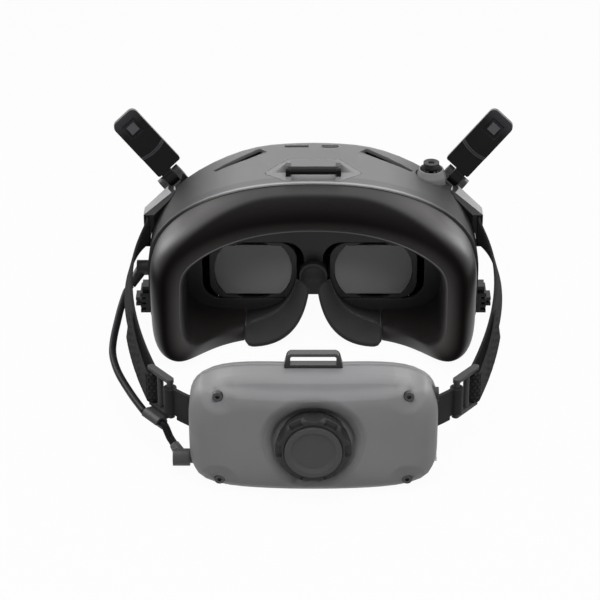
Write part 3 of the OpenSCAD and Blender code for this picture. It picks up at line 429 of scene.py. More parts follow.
def relief_group():
    """Soft forms of the case back: dishes round the screws, a cove round the knob, a crease below the top."""
    knob_z, screw_x, screw_z, crease_z = 30.5, 44.5, 23, 27
    t = Group("Case relief")
    axes = t.axes(t.place())

    def less(a, mm):
        return t.math("SUBTRACT", a, mm * MM)

    def away(a, b):
        return t.math("SQRT", t.weigh(a, a, b, b))

    def dip(distance, inner, outer, depth):
        return t.span(distance, inner * MM, outer * MM, -depth * MM, 0, SOFT_STEP)
    x, z = t.math("ABSOLUTE", axes[0]), less(axes[2], knob_z)
    screw = away(less(x, screw_x), less(t.math("ABSOLUTE", z), screw_z))
    crease = t.math("ABSOLUTE", less(z, crease_z))
    hollows = t.math("ADD", dip(screw, 3, 9.5, 1.5), dip(away(x, z), 19.5, 26, 2))
    return t.made(Height=t.math("ADD", hollows, dip(crease, 0, 4.5, 1.6)))


GROUP_MAKERS = {"Moulded grain": grain_group, "Edge wear": edge_group, "Leather grain": leather_group,
                "Webbing weave": weave_group, "Case relief": relief_group}


# Materials

class Material(Tree):
    """The tree of a new material, with its Principled shader."""

    def __init__(self, name):
        self.material = bpy.data.materials.new(name)
        self.material.use_nodes = True
        super().__init__(self.material.node_tree)
        self.shader = self.tree.nodes["Principled BSDF"]

    def bump(self, height, microns, normal=None):
        """A normal raised by height, from the given normal or the surface's own."""
        base = {} if normal is None else {"Normal": normal}
        return self.add("ShaderNodeBump", {"Height": height, "Strength": 1, "Distance": microns * MICRON,
                                           **base}).outputs[0]

    def made(self, colour, rough, normal=None, specular=0.5, **levels):
        """The material, with its shader fed and other levels of the shader set."""
        feeds = {"Base Color": colour, "Roughness": rough, "Specular IOR Level": specular}
        if normal is not None:
            feeds["Normal"] = normal
        self.fill(self.shader, feeds)
        self.fill(self.shader, {key.replace("_", " "): level for key, level in levels.items()})
        return self.material


# Colour setting and lift of it, roughness, grains in a metre, depth of the grain in microns, radius of the
# edges in millimetres, lift of the colour along the edges for rubbed wear and a painted highlight, and
# specular level
PLASTICS = {
    "shell": ("shell", 1, 0.4, 1300, 18, 0.5, 1.6, 0.5),
    # case: the shell colour lifted a little, a painted light for the top light on the case back
    "case": ("shell", 1.12, 0.55, 1300, 18, 0.5, 1.6, 0.4),
    "dark": ("dark", 1, 0.45, 1600, 18, 0.4, 2.2, 0.35),
    "cover": ("dark", 1, 0.5, 1600, 15, 9, 1.1, 0.35),
    "black": ("black", 1, 0.5, 1400, 22, 0.6, 2.2, 0.4),
    "buckle": ("buckle", 1, 0.42, 1700, 15, 0.4, 2, 0.2),
    "band": ("webbing", 0.7, 0.55, 900, 40, 0.3, 1.6, 0.12),
    "loop": ("buckle", 0.8, 0.25, 1700, 10, 0.6, 3, 0.5),
    "antenna": ("antenna", 1, 0.3, 1600, 8, 0.6, 6, 0.1),
    "gloss": ("antenna", 1, 0.3, 1600, 8, 0.6, 6, 0.2),
    # badge: the lighter finish of the badges, also laid on the antenna steps as a painted highlight
    "badge": ("antenna", 9, 0.3, 1600, 8, 0.3, 2, 0.4),
    "knob": ("knob", 1, 0.45, 1500, 18, 0.6, 1.9, 0.25),
    "cap": ("knob", 2, 0.45, 1500, 15, 0.6, 1.8, 0.35),
    "piping": ("piping", 1, 0.35, 1800, 10, 0.2, 1.2, 0.6),
}


def moulded(name, grain, radius, drift=30):
    """The tree of a new plastic, its grain and its edges of a radius in millimetres."""
    t = Material(f"{name}_moulding")
    return t, t.group("Moulded grain", Scale=grain, Drift=drift), t.group("Edge wear", Radius=radius * MM)


def plastic(name, paint=None, form=None):
    """Moulded plastic with grain and edges lifted lighter, partly rubbed wear and partly a painted highlight;
    paint may change its colour and form its normal.
    """
    known = bpy.data.materials.get(f"{name}_moulding")
    if known:
        return known
    tone, lift, rough, grain, depth, radius, wear, specular = PLASTICS[name]
    t, grains, edges = moulded(name, grain, radius)
    body = t.blend(grains["Tone"], tint(tone, lift * 0.93), tint(tone, lift * 1.07))
    # The edges are lifted lighter: partly rubbed wear, partly a painted highlight.
    worn = t.blend(edges["Mask"], body, tint(tone, lift * wear))
    return t.made(paint(t, worn) if paint else worn,
                  t.span(grains["Tone"], 0, 1, rough - 0.05, rough + 0.05),
                  t.bump(grains["Height"], depth, form(t) if form else edges["Normal"]), specular)


def tip_highlight(t, body):
    """Colour of an antenna, with a painted highlight that grows towards its tip."""
    lean, lift = 0.669, 0.743
    axes = t.axes(t.place())
    along = t.weigh(t.math("ABSOLUTE", axes[0]), lean, axes[2], lift)
    tip = max(abs(v.co.x) * lean + v.co.z * lift for v in NODES["left_antenna"].data.vertices)
    return t.blend(t.span(along, tip - 9 * MM, tip - 1 * MM), body, tint("antenna", 6))


def case_forms(t):
    """Normal of the case back, with its soft forms and swelling edges."""
    swell = t.group("Edge wear", Radius=4 * MM)["Normal"]
    return t.bump(t.group("Case relief")["Height"], 1 / MICRON, swell)


def arm_plastic():
    """Strap arm: a painted light strip along the outer side of its top, where it faces up to the lamps, and
    painted shade, near black, below.
    """
    t, grains, edges = moulded("arm", 1500, 0.3, drift=40)
    facing = t.axes(t.add("ShaderNodeNewGeometry").outputs["True Normal"])
    # Faces that tilt outward and face up get a painted light strip; the rest get painted shade, darker than
    # the dark finish.
    outer = t.span(t.math("ABSOLUTE", facing[0]), 0.03, 0.06)
    top = t.math("MULTIPLY", outer, t.span(facing[2], 0.2, 0.3))
    tone = t.blend(grains["Tone"], tint("shell", 1.6), tint("shell", 1.85))
    pale = t.blend(edges["Mask"], tone, tint("shell", 2.4))
    return t.made(t.blend(top, tint("dark", 0.35), pale), t.span(grains["Tone"], 0, 1, 0.42, 0.52),
                  t.bump(grains["Height"], 20, edges["Normal"]), 0.35)


def housing_plastic():
    """Shell plastic with painted shade that darkens it towards the temples, and painted shade in a band along
    the pad with a thin painted highlight on the rim at its edge.
    """
    temple_shade_start, temple_shade_end = 36, 73
    lip_highlight_y, shade_band_y, bow = 63.6, 69.5, 290
    t, grains, edges = moulded("housing", 1300, 0.9)
    axes = t.axes(t.place())
    # Painted shade: the colour darkens towards the temples, where less light falls.
    temple_shade = t.span(t.math("ABSOLUTE", axes[0]), temple_shade_start * MM, temple_shade_end * MM, step=SOFT_STEP)
    ahead = t.math("ADD", axes[1], t.math("DIVIDE", t.math("MULTIPLY", axes[0], axes[0]), bow * MM))
    # Painted highlight on the rim by the pad, and painted shade in a band just behind it.
    lip_highlight = t.span(ahead, lip_highlight_y * MM, (lip_highlight_y + 0.6) * MM, 1, 0)
    band = t.span(ahead, shade_band_y * MM, (shade_band_y + 1) * MM, 1, 0)
    lip_highlight_and_edges = t.math("MAXIMUM", lip_highlight, edges["Mask"])
    top = t.blend(grains["Tone"], tint("shell", 0.9), tint("shell"))
    lit_lip_shaded_band = t.blend(lip_highlight_and_edges, t.blend(band, top, tint("shell", 0.78)), tint("shell", 1.9))
    shaded_temple = t.blend(lip_highlight_and_edges, tint("shell", 0.1), tint("shell", 0.25))
    return t.made(t.blend(temple_shade, lit_lip_shaded_band, shaded_temple),
                  t.weigh(t.span(grains["Tone"], 0, 1, 0.36, 0.46), 1, temple_shade, 0.2),
                  t.bump(grains["Height"], 18, edges["Normal"]), 0.25)


# Colour, roughness and the stretch of the brush lines
METALS = {
    "turned_steel": ((0.42, 0.42, 0.43), 0.32, (0.1, 1, 1)),
    "screw_steel": ((0.07, 0.07, 0.072), 0.38, (1, 1, 1)),
    "milled_alloy": ((0.55, 0.56, 0.58), 0.35, (1, 0.08, 1)),
}


def metal(name):
    """Bare metal with brush lines along the axis that its stretch leaves short."""
    known = bpy.data.materials.get(name)
    if known:
        return known
    rgb, rough, stretch = METALS[name]
    t = Material(name)
    turned = t.add("ShaderNodeMapping", {"Vector": t.place(), "Scale": stretch}).outputs[0]
    lines = t.noise(2000, 2, Vector=turned)
    edges = t.group("Edge wear", Radius=0.2 * MM)
    body = t.blend(lines, scaled(rgb, 0.85), rgb)
    return t.made(t.blend(edges["Mask"], body, scaled(rgb, 1.2)),
                  t.span(lines, 0.3, 0.7, rough - 0.06, rough + 0.08),
                  t.bump(lines, 8, edges["Normal"]), Metallic=1)


def leatherette():
    """Coated pad skin: fine pebble, a gloss on the flanks, a matt band where the face rests, painted shade
    along the seam and a painted highlight in the hem colour on the outer flanks and the inner rim.
    """
    t = Material("leatherette")
    grains = t.group("Leather grain", Scale=1100)
    rest_and_seam_shade, hem, _ = t.axes(t.add("ShaderNodeUVMap", uv_map="rest_map").outputs[0])
    tone = t.blend(grains["Tone"], tint("skin", 0.85), tint("skin", 1.2))
    # The first map channel darkens the skin in the matt band and, as painted shade, along the seam; the
    # second lifts it to the hem colour, a painted highlight.
    worn = t.blend(rest_and_seam_shade, tone, tint("skin", 0.4))
    return t.made(t.blend(hem, worn, tint("hem")), t.span(grains["Tone"], 0, 1, 0.6, 0.7),
                  t.bump(grains["Height"], 30), 0.04, Coat_Weight=t.span(rest_and_seam_shade, 0, 1, 1, 0.02),
                  Coat_Roughness=0.46, Coat_IOR=1.5)


def flap_rubber():
    """Matt moulded rubber with a powdery bloom."""
    t = Material("nose_rubber")
    grains = t.group("Moulded grain", Scale=1900, Drift=60)
    return t.made(t.blend(grains["Tone"], tint("rubber", 0.88), tint("rubber", 1.2)),
                  t.span(grains["Tone"], 0, 1, 0.58, 0.7), t.bump(grains["Height"], 20), 0.3,
                  Sheen_Weight=0.06)


def webbing(name, rib, thread, microns, lift=1):
    """Woven strap cloth, ribbed across its length."""
    t = Material(name)
    place = t.add("ShaderNodeUVMap", uv_map="weave_map").outputs[0]
    weave = t.group("Webbing weave", Map=place, Rib=rib, Thread=thread)
    return t.made(t.blend(weave["Tone"], tint("webbing", lift * 0.45), tint("webbing", lift * 1.3)),
                  t.span(weave["Tone"], 0, 1, 0.85, 0.65), t.bump(weave["Height"], microns), 0.05,
                  Sheen_Weight=0.02, Sheen_Roughness=0.5)


def pad_cloth():
    """Knitted mesh cloth of the head pad."""
    t = Material("pad_cloth")
    x, _, z = t.axes(t.place())
    flat = t.add("ShaderNodeCombineXYZ", {0: x, 1: z}).outputs[0]
    thread = t.span(t.cells(flat, 560, 0.15, voronoi_dimensions="2D"), 0.15, 0.5)
    return t.made(t.blend(thread, (0.006, 0.006, 0.006), (0.03, 0.029, 0.03)),
                  t.span(thread, 0, 1, 0.95, 0.75), t.bump(thread, 300), 0.2, Sheen_Weight=0.2)


def cable_skin():
    """Extruded cable skin with faint handling marks."""
    t = Material("cable_sheath")
    grains = t.group("Moulded grain", Scale=700, Drift=150)
    return t.made(t.blend(grains["Tone"], tint("cable", 0.8), tint("cable", 1.3)),
                  t.span(grains["Tone"], 0, 1, 0.2, 0.34), t.bump(grains["Height"], 10), 0.04)


def lens_glass():
    """Coated lens glass, grey partly as a painted reflection of the floor, with a painted highlight round its
    edges.
    """
    t = Material("coated_glass")
    edges = t.group("Edge wear", Radius=0.7 * MM)
    # Painted highlight on the edges; the grey is partly a painted reflection of the floor.
    return t.made(t.blend(edges["Mask"], (0.3, 0.303, 0.307), (0.55, 0.55, 0.56)),
                  t.span(t.noise(90, 3), 0.3, 0.7, 0.4, 0.5), edges["Normal"],
                  Transmission_Weight=0.3, IOR=1.3, Coat_Weight=0.4, Coat_Roughness=0.3)


def screen_glass():
    """Dark display under glass, with a faint grid of pixels."""
    t = Material("screen_glass")
    grid = t.add("ShaderNodeTexChecker", {"Vector": t.place(), "Scale": 8000}).outputs["Fac"]
    return t.made(t.blend(grid, (0.02, 0.021, 0.024), (0.028, 0.029, 0.032)),
                  t.span(t.noise(60, 3), 0.3, 0.7, 0.12, 0.24))


def circuit_board():
    """Solder mask with copper tracks and small dark components."""
    t = Material("circuit_board")
    ink, clear = (0, 0, 0, 1), (1, 1, 1, 1)
    tracks = t.add("ShaderNodeTexBrick", {"Vector": t.place(), "Scale": 300, "Mortar Size": 0.03,
                                          "Color1": ink, "Color2": ink, "Mortar": clear}).outputs["Color"]
    mask = t.math("LESS_THAN", t.cells(t.place(), 260, distance="CHEBYCHEV"), 0.22)
    board = t.blend(tracks, (0.006, 0.045, 0.02), (0.02, 0.11, 0.045))
    return t.made(t.blend(mask, board, (0.01, 0.01, 0.011)), t.span(mask, 0, 1, 0.35, 0.55),
                  t.bump(mask, 300))


def cell_wrap():
    """Shrink film round the cells, slightly wrinkled."""
    t = Material("shrink_film")
    folds = t.noise(160, 4, Distortion=1.5)
    return t.made(t.blend(folds, (0.02, 0.06, 0.16), (0.04, 0.1, 0.24)),
                  t.span(folds, 0.3, 0.7, 0.2, 0.4), t.bump(folds, 400))


# Dressing of the CAD nodes

def smoothing_tree():
    """Geometry nodes that join a node's faces and shade them smooth up to an angle."""
    name = "Smooth faces"
    if name in bpy.data.node_groups:
        return bpy.data.node_groups[name]
    t = Tree(bpy.data.node_groups.new(name, "GeometryNodeTree"))
    t.socket("Geometry", "INPUT", GEOMETRY)
    t.socket("Angle", "INPUT", FLOAT)
    t.socket("Geometry", "OUTPUT", GEOMETRY)
    given = t.add("NodeGroupInput").outputs
    bare = t.add("GeometryNodeRemoveAttribute", {"Geometry": given[0], "Name": "custom_normal"})
    joined = t.add("GeometryNodeMergeByDistance", {"Geometry": bare.outputs[0], "Distance": 2 * MICRON})
    smooth = t.add("GeometryNodeSetShadeSmooth", {"Geometry": joined.outputs[0], "Shade Smooth": True})
    angle = t.add("GeometryNodeInputMeshEdgeAngle").outputs["Unsigned Angle"]
    sharp = t.add("FunctionNodeCompare", {0: angle, 1: given[1]}, data_type="FLOAT", operation="GREATER_THAN")
    edges = t.add("GeometryNodeSetShadeSmooth", {
        "Geometry": smooth.outputs[0], "Selection": sharp.outputs[0], "Shade Smooth": False}, domain="EDGE")
    t.add("NodeGroupOutput", {0: edges.outputs[0]})
    return t.tree


def dress(material, *names, angle=35):
    """Gives CAD nodes their finish, and smooth shading up to an angle in degrees."""
    tree = smoothing_tree()
    key = next(s.identifier for s in tree.interface.items_tree if s.name == "Angle")
    for name in names:
        obj = NODES[name]
        give(obj, material)
        smooth = obj.modifiers.new("Smooth faces", "NODES")
        smooth.node_group = tree
        smooth[key] = math.radians(angle)
        obj.modifiers.new("Even normals", "WEIGHTED_NORMAL").keep_sharp = True


# Camera

class GOGGLES_OT_camera(Operator):
    """Sets the camera at the photograph's angle"""
    bl_idname = "goggles.camera"
    bl_label = "Camera"

    def execute(self, context):
        studio = context.scene.goggles_studio
        data = bpy.data.cameras.new("camera")
        data.lens = studio.lens
        data.sensor_width = 36
        data.shift_x, data.shift_y = -0.0222, 0.0365
        data.clip_start, data.clip_end = 0.01, 100
        camera = bpy.data.objects.new("camera", data)
        context.scene.collection.objects.link(camera)
        back = Vector((0, -math.cos(studio.elevation), math.sin(studio.elevation)))
        camera.location = Vector((0, studio.aim, 0)) + back * studio.distance
        camera.rotation_mode = "QUATERNION"
        camera.rotation_quaternion = (-back).to_track_quat("-Z", "Y")
        context.scene.camera = camera
        return {"FINISHED"}


# Power cable

class GOGGLES_OT_cable(Operator):
    """Lays the power cable from the goggles through its clip to the battery"""
    bl_idname = "goggles.cable"
    bl_label = "Power cable"

    def execute(self, context):
        plug = Vector((-89.6, 46.997, 40))
        boot = Vector((-0.55, -0.5, -0.67))
        root = plug + boot * 11.3
        clip = Vector((-77.171, -67.492, 18.9))
        along = Vector((0.62932, -0.77715, 0))
        cell = Vector((-63, -86.5, 9))
        tail = Vector((-0.5, 0.77, 0.4))
        end = cell + tail * 8.3
        half_clip, middle, steps = 6.3, 0.05, 8
        front = route([root, root + boot * 2, root + boot * 4.5, (-101, 24, 24.5), (-102.5, -3, 20),
                       (-99, -21, 18.6), (-91.5, -40, 17.6), clip - along * 9, clip - along * half_clip,
                       clip - along * middle], steps)
        rear = route([clip + along * middle, clip + along * half_clip, clip + along * 8.6, end + tail * 4.5,
                      end + tail * 2, end], steps)
        width = context.scene.goggles_soft.cable_diameter
        skin = cable_skin()
        pieces = []
        for name, line in (("power_cable_front", front), ("power_cable_rear", rear)):
            obj = tube(name, line, width / MM / 2, skin)
            pieces.append(obj)
        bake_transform(pieces[0])
        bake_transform(pieces[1])
        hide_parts("front_cable")
        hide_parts("rear_cable")
        dress(plastic("dark"), "goggles_plug", "power_socket")
        dress(plastic("cap"), "battery_plug")
        return {"FINISHED"}


# Face pad

PAD_MID = HOUSING_Z / 2
PAD_CORNERS, PAD_STEPS = 10, 5


def pad_corner(t, j):
    """Corner j of the pad's cross-section at angle t, from the seam over the crown to the inner rim."""
    half, depth, side = size("pad_half_width"), size("pad_depth"), size("pad_side")
    face_radius, bottom_roll, floor_z = 145, 9, 0.3
    full, tall = half + 1.2, PAD_MID - 0.1
    o = rim(t, half, tall, tall, 3, 6.5)
    i = rim(t, full - size("pad_roll_side"), PAD_MID - size("pad_roll_top"), PAD_MID - bottom_roll, 3, 6)
    low = soft_max(-math.sin(math.radians(t)), 0, 0.14)
    reach = full * 0.88
    x = -soft_max(-abs(o[0]), -reach, 8) / reach
    top = SEAM_Y - depth - side * 0.93 * x * x
    bottom = SEAM_Y - depth + 6 - (side + 18) * x ** 4 - 7 * x ** 8
    crest = mix(top, bottom, low)
    seam = SEAM_Y - o[0] ** 2 / (2 * face_radius) - SOFT_GAP - 0.4 * low
    back = PLATE_Y - SOFT_GAP
    across, y = (
        (0.035, seam),
        (0.02 * low, mix(seam, crest, 0.4)),
        (0.04 + 0.12 * low, mix(seam, crest, 0.72 + 0.1 * low)),
        (0.18 + 0.14 * low, mix(seam, crest, 0.93)),
        (0.44, crest - 0.8 + 2 * low),
        (0.72, crest - 0.2 + 5.5 * low),
        (0.95, crest + 3 + 8 * low),
        (1, crest + 8 + 9 * low),
        (0.93, back),
        (0.1, min(seam, back)))[j]
    down = across * (1 - 0.8 * low if across < 0.6 else 1)
    return Vector((mix(o[0], i[0], across), y, max(floor_z, PAD_MID + mix(o[1], i[1], down))))


def pad_angle(j, x):
    """Angle at which corner j reaches x on the lower right side."""
    low, high = -89.5, -20
    for _ in range(40):
        t = (low + high) / 2
        low, high = (t, high) if pad_corner(t, j).x < x else (low, t)
    return low


def pad_ring(angles):
    """Smooth closed ring through the corners, each at its own angle."""
    p = [pad_corner(a, j) for j, a in enumerate(angles)]
    return spline(p[:9], PAD_STEPS) + [p[8].lerp(p[9], 0.5), p[9], p[9].lerp(p[0], 0.5)]


def pad_tone(p, j):
    """How matt the skin is at a point by corner j, darkened as painted shade along the seam, and how much
    painted highlight it takes on the outer flanks and at the inner rim.
    """
    x = abs(p.x)
    side = rise(x, 21, 84)
    start = mix(0.5, 2.8, side)
    worn = max(0.5 * (1 - side), rise(j, start, start + 1.1)) * (1 - 0.7 * rise(j, 5, 6.4))
    leg = rise(x, 58, 68)
    # Painted highlight in the hem colour along the inner rim.
    hem = rise(j, 3.9, 5.6) * (1 - rise(j, 5.7, 6))
    # Painted shade: the seam strip is darker and matt.
    seam = 1 - rise(j, -0.35, -0.05)
    # Painted highlight on the outer flanks near the corners.
    flank_highlight = 0.5 * rise(x, 35, 60) * rise(p.z, 45, 70) * (1 - rise(j, 0.8, 2.4)) * (1 - seam)
    return max(seam, worn * max(leg, rise(p.z, 2, 26))), max(flank_highlight, hem * max(leg, rise(p.z, 14, 26)))


class GOGGLES_OT_face_pad(Operator):
    """Shapes the leatherette face pad"""
    bl_idname = "goggles.face_pad"
    bl_label = "Face pad"

    def execute(self, context):
        turn, lobe_rings, crown_rings = -38, 26, 60
        glint_bead_point, glint_bead_radius = 33, 0.45
        gap = size("pad_nose_gap")
        ends = [pad_angle(j, gap + 1.6) for j in range(PAD_CORNERS)]
        last = pad_ring(ends)
        hub = sum(last, Vector()) / len(last)
        cap = [[Vector((gap + x, *(hub + (p - hub) * k).yz)) for p in last]
               for x, k in ((0, 0.72), (0.05, 0.86), (0.3, 0.94), (0.8, 0.985))]
        lobe = [pad_ring([mix(a, turn, k / lobe_rings) for a in ends]) for k in range(lobe_rings)]
        crown = [pad_ring([mix(turn, 90, k / crown_rings)] * PAD_CORNERS) for k in range(crown_rings + 1)]
        right = cap + lobe + crown
        rings = right + [mirrored(ring) for ring in right[-2::-1]]
        pad = closed_piece("face_cushion", rings, leatherette())
        tones = [pad_tone(p, c / PAD_STEPS - 1) for ring in rings for c, p in enumerate(ring)]
        paint_map(pad, "rest_map", tones + [(0, 0), (0, 0)])
        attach(pad, "frame")
        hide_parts("face_pad")
        # A light bead along the inner rim of the crown, a painted highlight where the skin turns in.
        middle = [ring[glint_bead_point] for ring in crown]
        edge = middle + mirrored(middle[-2::-1])
        piping = tube("pad_piping", edge, glint_bead_radius, plastic("piping"), sides=10, taper=24)
        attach(piping, "frame")
        return {"FINISHED"}


# Nose flaps

def flap_edge(middle, out, back, bend, sign):
    """Points round an edge of a flap, forward to back at sign 1 and the other way at -1."""
    angles = [math.pi * k / 5 for k in range(1, 5)]
    return [middle + back * (1 - sign * math.cos(a)) / 2 + out * bend * (math.sin(a) - 1) for a in angles]


class GOGGLES_OT_nose_flaps(Operator):
    """Shapes the two rubber nose flaps"""
    bl_idname = "goggles.nose_flaps"
    bl_label = "Nose flaps"

    def execute(self, context):
        outer = size("pad_nose_gap") - 0.4
        root = [Vector(p) for p in ((9, PLATE_Y - 6.2, 30), (13, PLATE_Y - 7.4, 14), (20, PLATE_Y - 8, 10),
                                    (outer, PLATE_Y - 16, 8.4))]
        free = [Vector(p) for p in ((2.6, PLATE_Y - 11.2, 27), (5, PLATE_Y - 17, 17), (9, PLATE_Y - 28, 1),
                                    (outer, PLATE_Y - 29, 3))]
        thick = size("flap_thickness")
        steps, across, tip_share, sill_z = 48, 10, 0.85, 7
        bulge, sill = Vector((0.6, 0, 1.6)), Vector((0, 0, 0.8))
        rings, webs = [], []
        for k in range(steps + 1):
            t = k / steps
            r, f = bezier(root, t), bezier(free, t)
            pull = (r + f) / 2 + bulge * 2
            d = sum((bezier(p, t + 0.01) - bezier(p, t - 0.01) for p in (root, free)), Vector())
            inset = 0.16 * (1 - arc((1 - t) / 0.06))
            depth = thick * mix(0.35, 1, arc((1 - t) / 0.03))
            back = d.cross(f - r).normalized() * depth
            shares = [mix(inset, 1 - inset, j / across) for j in range(across + 1)]
            front = [(1 - v) ** 2 * r + 2 * v * (1 - v) * pull + v * v * f for v in shares]
            rear = [p + back * mix(1, tip_share, j / across) for j, p in enumerate(front)]
            out = (front[-1] - front[-2]).normalized()
            inn = (front[0] - front[1]).normalized()
            rings.append(front + flap_edge(front[-1], out, back * tip_share, depth * 0.4, 1)
                         + rear[::-1] + flap_edge(front[0], inn, back, depth * 0.3, -1))
            low = front[0] + back * 0.5
            hem = Vector((r.x, PLATE_Y - 0.35, max(r.z - 1.2, sill_z)))
            webs.append([low, hem, hem + sill, low + sill * 0.3])
        rubber, shade = flap_rubber(), plastic("black")
        for name, sign in SIDE_SIGNS.items():
            flap = closed_piece(f"{name}_nose_flap", rings, rubber, sign)
            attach(flap, "frame")
            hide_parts("nose_flaps")
            web = closed_piece(f"{name}_nose_web", webs, shade, sign)
            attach(web, "frame")
        return {"FINISHED"}


# Straps

class GOGGLES_OT_straps(Operator):
    """Weaves the side straps from the housing arms round the buckle bars"""
    bl_idname = "goggles.straps"
    bl_label = "Side straps"

    lens_y, strap_z = 59, 57
    loop_y, loop_r = -5, 95
    buckle_angle, buckle_z = 51, 33
    bar_out, bar_thickness = 7, 3.2
    pull_angle, lean = 250, 2.4

    def lay_out(self):
        """Plan curve of the strap and the turn round the bar."""
        thick = size("strap_thickness")
        self.turn_r = self.bar_thickness / 2 + SOFT_GAP + thick / 2
        self.strap_x = HOUSING_X + thick / 2 + SOFT_GAP
        a = math.radians(self.buckle_angle)
        self.bar = Vector((self.loop_r * math.sin(a) + self.bar_out * math.cos(a),
                           self.loop_y - self.loop_r * math.cos(a) + self.bar_out * math.sin(a)))
        bends = ((self.strap_x, -3.4), (self.strap_x + 13, -22), (self.loop_r + 3, -58))
        self.curve = [*(Vector((x, self.lens_y + y)) for x, y in bends), self.round_bar(0)]

    def round_bar(self, share):
        """Point on the half turn round the bar, in plan."""
        a = math.radians(self.pull_angle - 90 + 180 * share)
        return self.bar + self.turn_r * Vector((math.cos(a), math.sin(a)))

    def at(self, t, out):
        """Middle of the strap at t and the lean of its upper edge."""
        d = (bezier(self.curve, t + 0.01) - bezier(self.curve, t - 0.01)).normalized()
        e = Vector((-d.y, d.x))
        q = bezier(self.curve, t) + out * e
        z = mix(self.strap_z, self.buckle_z, 1 - (1 - t) ** 1.4 if t < 1 else 1)
        g = -self.lean * math.sin(math.pi * math.sqrt(min(max(t, 0), 1)))
        return Vector((q.x, q.y, z)), Vector((g * e.x, g * e.y, 0))

    def path(self):
        """Points along the strap, each with its lean and whether it is the folded end."""
        run_steps, turn_steps, fold_steps, fold_share = 240, 32, 80, 0.32
        flush = size("strap_thickness") + 0.3
        line = [(Vector((self.strap_x, self.lens_y + 1 - k, self.strap_z)), Vector(), 0) for k in range(4)]
        line += [(*self.at(k / run_steps, 0), 0) for k in range(run_steps + 1)]
        line += [(Vector((*self.round_bar(k / turn_steps), self.buckle_z)), Vector(), 1)
                 for k in range(1, turn_steps)]
        folds = [k / fold_steps for k in range(fold_steps + 1)]
        return line + [(*self.at(1 - fold_share * s, mix(2 * self.turn_r, flush, s)), 1) for s in folds]

    def execute(self, context):
        self.lay_out()
        line = self.path()
        width, thick, pitch = size("strap_width"), size("strap_thickness"), size("rib_pitch")
        across, plain_rib, folded_rib = 12, 0.04, 0.1
        run = 0
        rings, maps = [], []
        for i, (p, lean, folded) in enumerate(line):
            a, b = line[max(i - 1, 0)][0], line[min(i + 1, len(line) - 1)][0]
            n = Vector((b.y - a.y, a.x - b.x, 0)).normalized()
            h = Vector((lean.x, lean.y, width / 2))
            if i:
                run += (p - line[i - 1][0]).length
            rib = math.sin(math.tau * run / pitch) * (folded_rib if folded else plain_rib)
            half = thick / 2 * 0.86 + rib
            rings.append([])
            for side in (1, -1):
                for j in range(across + 1):
                    v = (j / across * 2 - 1) * side
                    edge = 1 - 0.55 * max(0, abs(v) - 0.94) / 0.06
                    selvedge = 1 + 0.1 * math.exp(-((abs(v) - 0.86) / 0.05) ** 2)
                    rings[-1].append(p + h * v + n * side * half * edge * selvedge)
                    maps.append(((v + 1) * width / 2, run))
        fine = webbing("webbing_fine", 1.1, 1.2, 80)
        coarse = webbing("webbing_coarse", 2.0, 1.9, 250, 1.15)
        for name, sign in SIDE_SIGNS.items():
            strap = closed_piece(f"{name}_side_strap", rings, fine, sign)
            strap.data.materials.append(coarse)
            paint_map(strap, "weave_map", maps + [(0, 0), (0, run)])
            for face in strap.data.polygons:
                face.material_index = line[min(min(face.vertices) // len(rings[0]), len(line) - 1)][2]
            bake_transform(strap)
            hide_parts(f"{name}_strap")
        return {"FINISHED"}


# Head pad

class GOGGLES_OT_head_pad(Operator):
    """Shapes the cushion on the head side of the battery case"""
    bl_idname = "goggles.head_pad"
    bl_label = "Head pad"

    def execute(self, context):
        t = size("head_pad_thickness")
        half_z = CASE_Z / 2
        seat_y, bow, points, channel_x = -81, 500, 96, 19
        # Inset from the case's rim, height and share of the outline
        stations = ((9, 0.05, 0.55), (9, 0.05, 0.8), (9, 0.05, 1), (8.1, 0.16, 1), (7.9, 0.38, 1),
                    (8.6, 0.62, 1), (10.2, 0.8, 1), (12.6, 0.93, 1), (13, 1, 0.9), (13, 1.04, 0.75),
                    (13, 1.07, 0.55), (13, 1.09, 0.3), (13, 1.1, 0.1))
        rings = []
        for inset, height, share in stations:
            rings.append([])
            for i in range(points):
                x, z = rim(i * 360 / points, CASE_X - inset, half_z - inset, half_z - inset, 3.6, 6)
                x, z = x * share, z * share
                channel = 0.9 * math.exp(-((abs(x) - channel_x) / 1.6) ** 2) if height > 0.7 else 0
                rings[-1].append(Vector((x, seat_y + x * x / bow + t * height - channel, half_z + z)))
        pad = closed_piece("head_cushion", rings, pad_cloth())
        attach(pad, "frame")
        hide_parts("head_pad")
        return {"FINISHED"}


# Hard pieces

class GOGGLES_OT_housing(Operator):
    """Finishes the housing and what is fixed to it"""
    bl_idname = "goggles.housing"
    bl_label = "Housing"

    def execute(self, context):
        dress(housing_plastic(), "housing", angle=40)
        dress(plastic("cover"), "front_cover", angle=40)
        dress(plastic("dark"), "bottom_covers", "card_slot", angle=40)
        dress(plastic("black"), "eye_plate")
        dress(plastic("gloss"), "side_vents")
        dress(arm_plastic(), "left_strap_arm", "right_strap_arm", angle=25)
        dress(plastic("shell"), "top_strap_loop")
        loop = NODES["top_strap_loop"].data
        loop.materials.append(plastic("gloss"))
        bar_x, cheek_x, seat_z = 14.7, 11.9, 82.05
        for face in loop.polygons:
            x, z = abs(face.center.x) / MM, face.center.z / MM
            cheek = x > cheek_x and abs(face.normal.x) > 0.9
            face.material_index = int(x < bar_x and (z > seat_z or cheek))
        dress(plastic("knob"), "nose_scoop")
        dress(metal("turned_steel"), "usb_port", "antenna_pins")
        dress(metal("screw_steel"), "housing_screws")
        return {"FINISHED"}


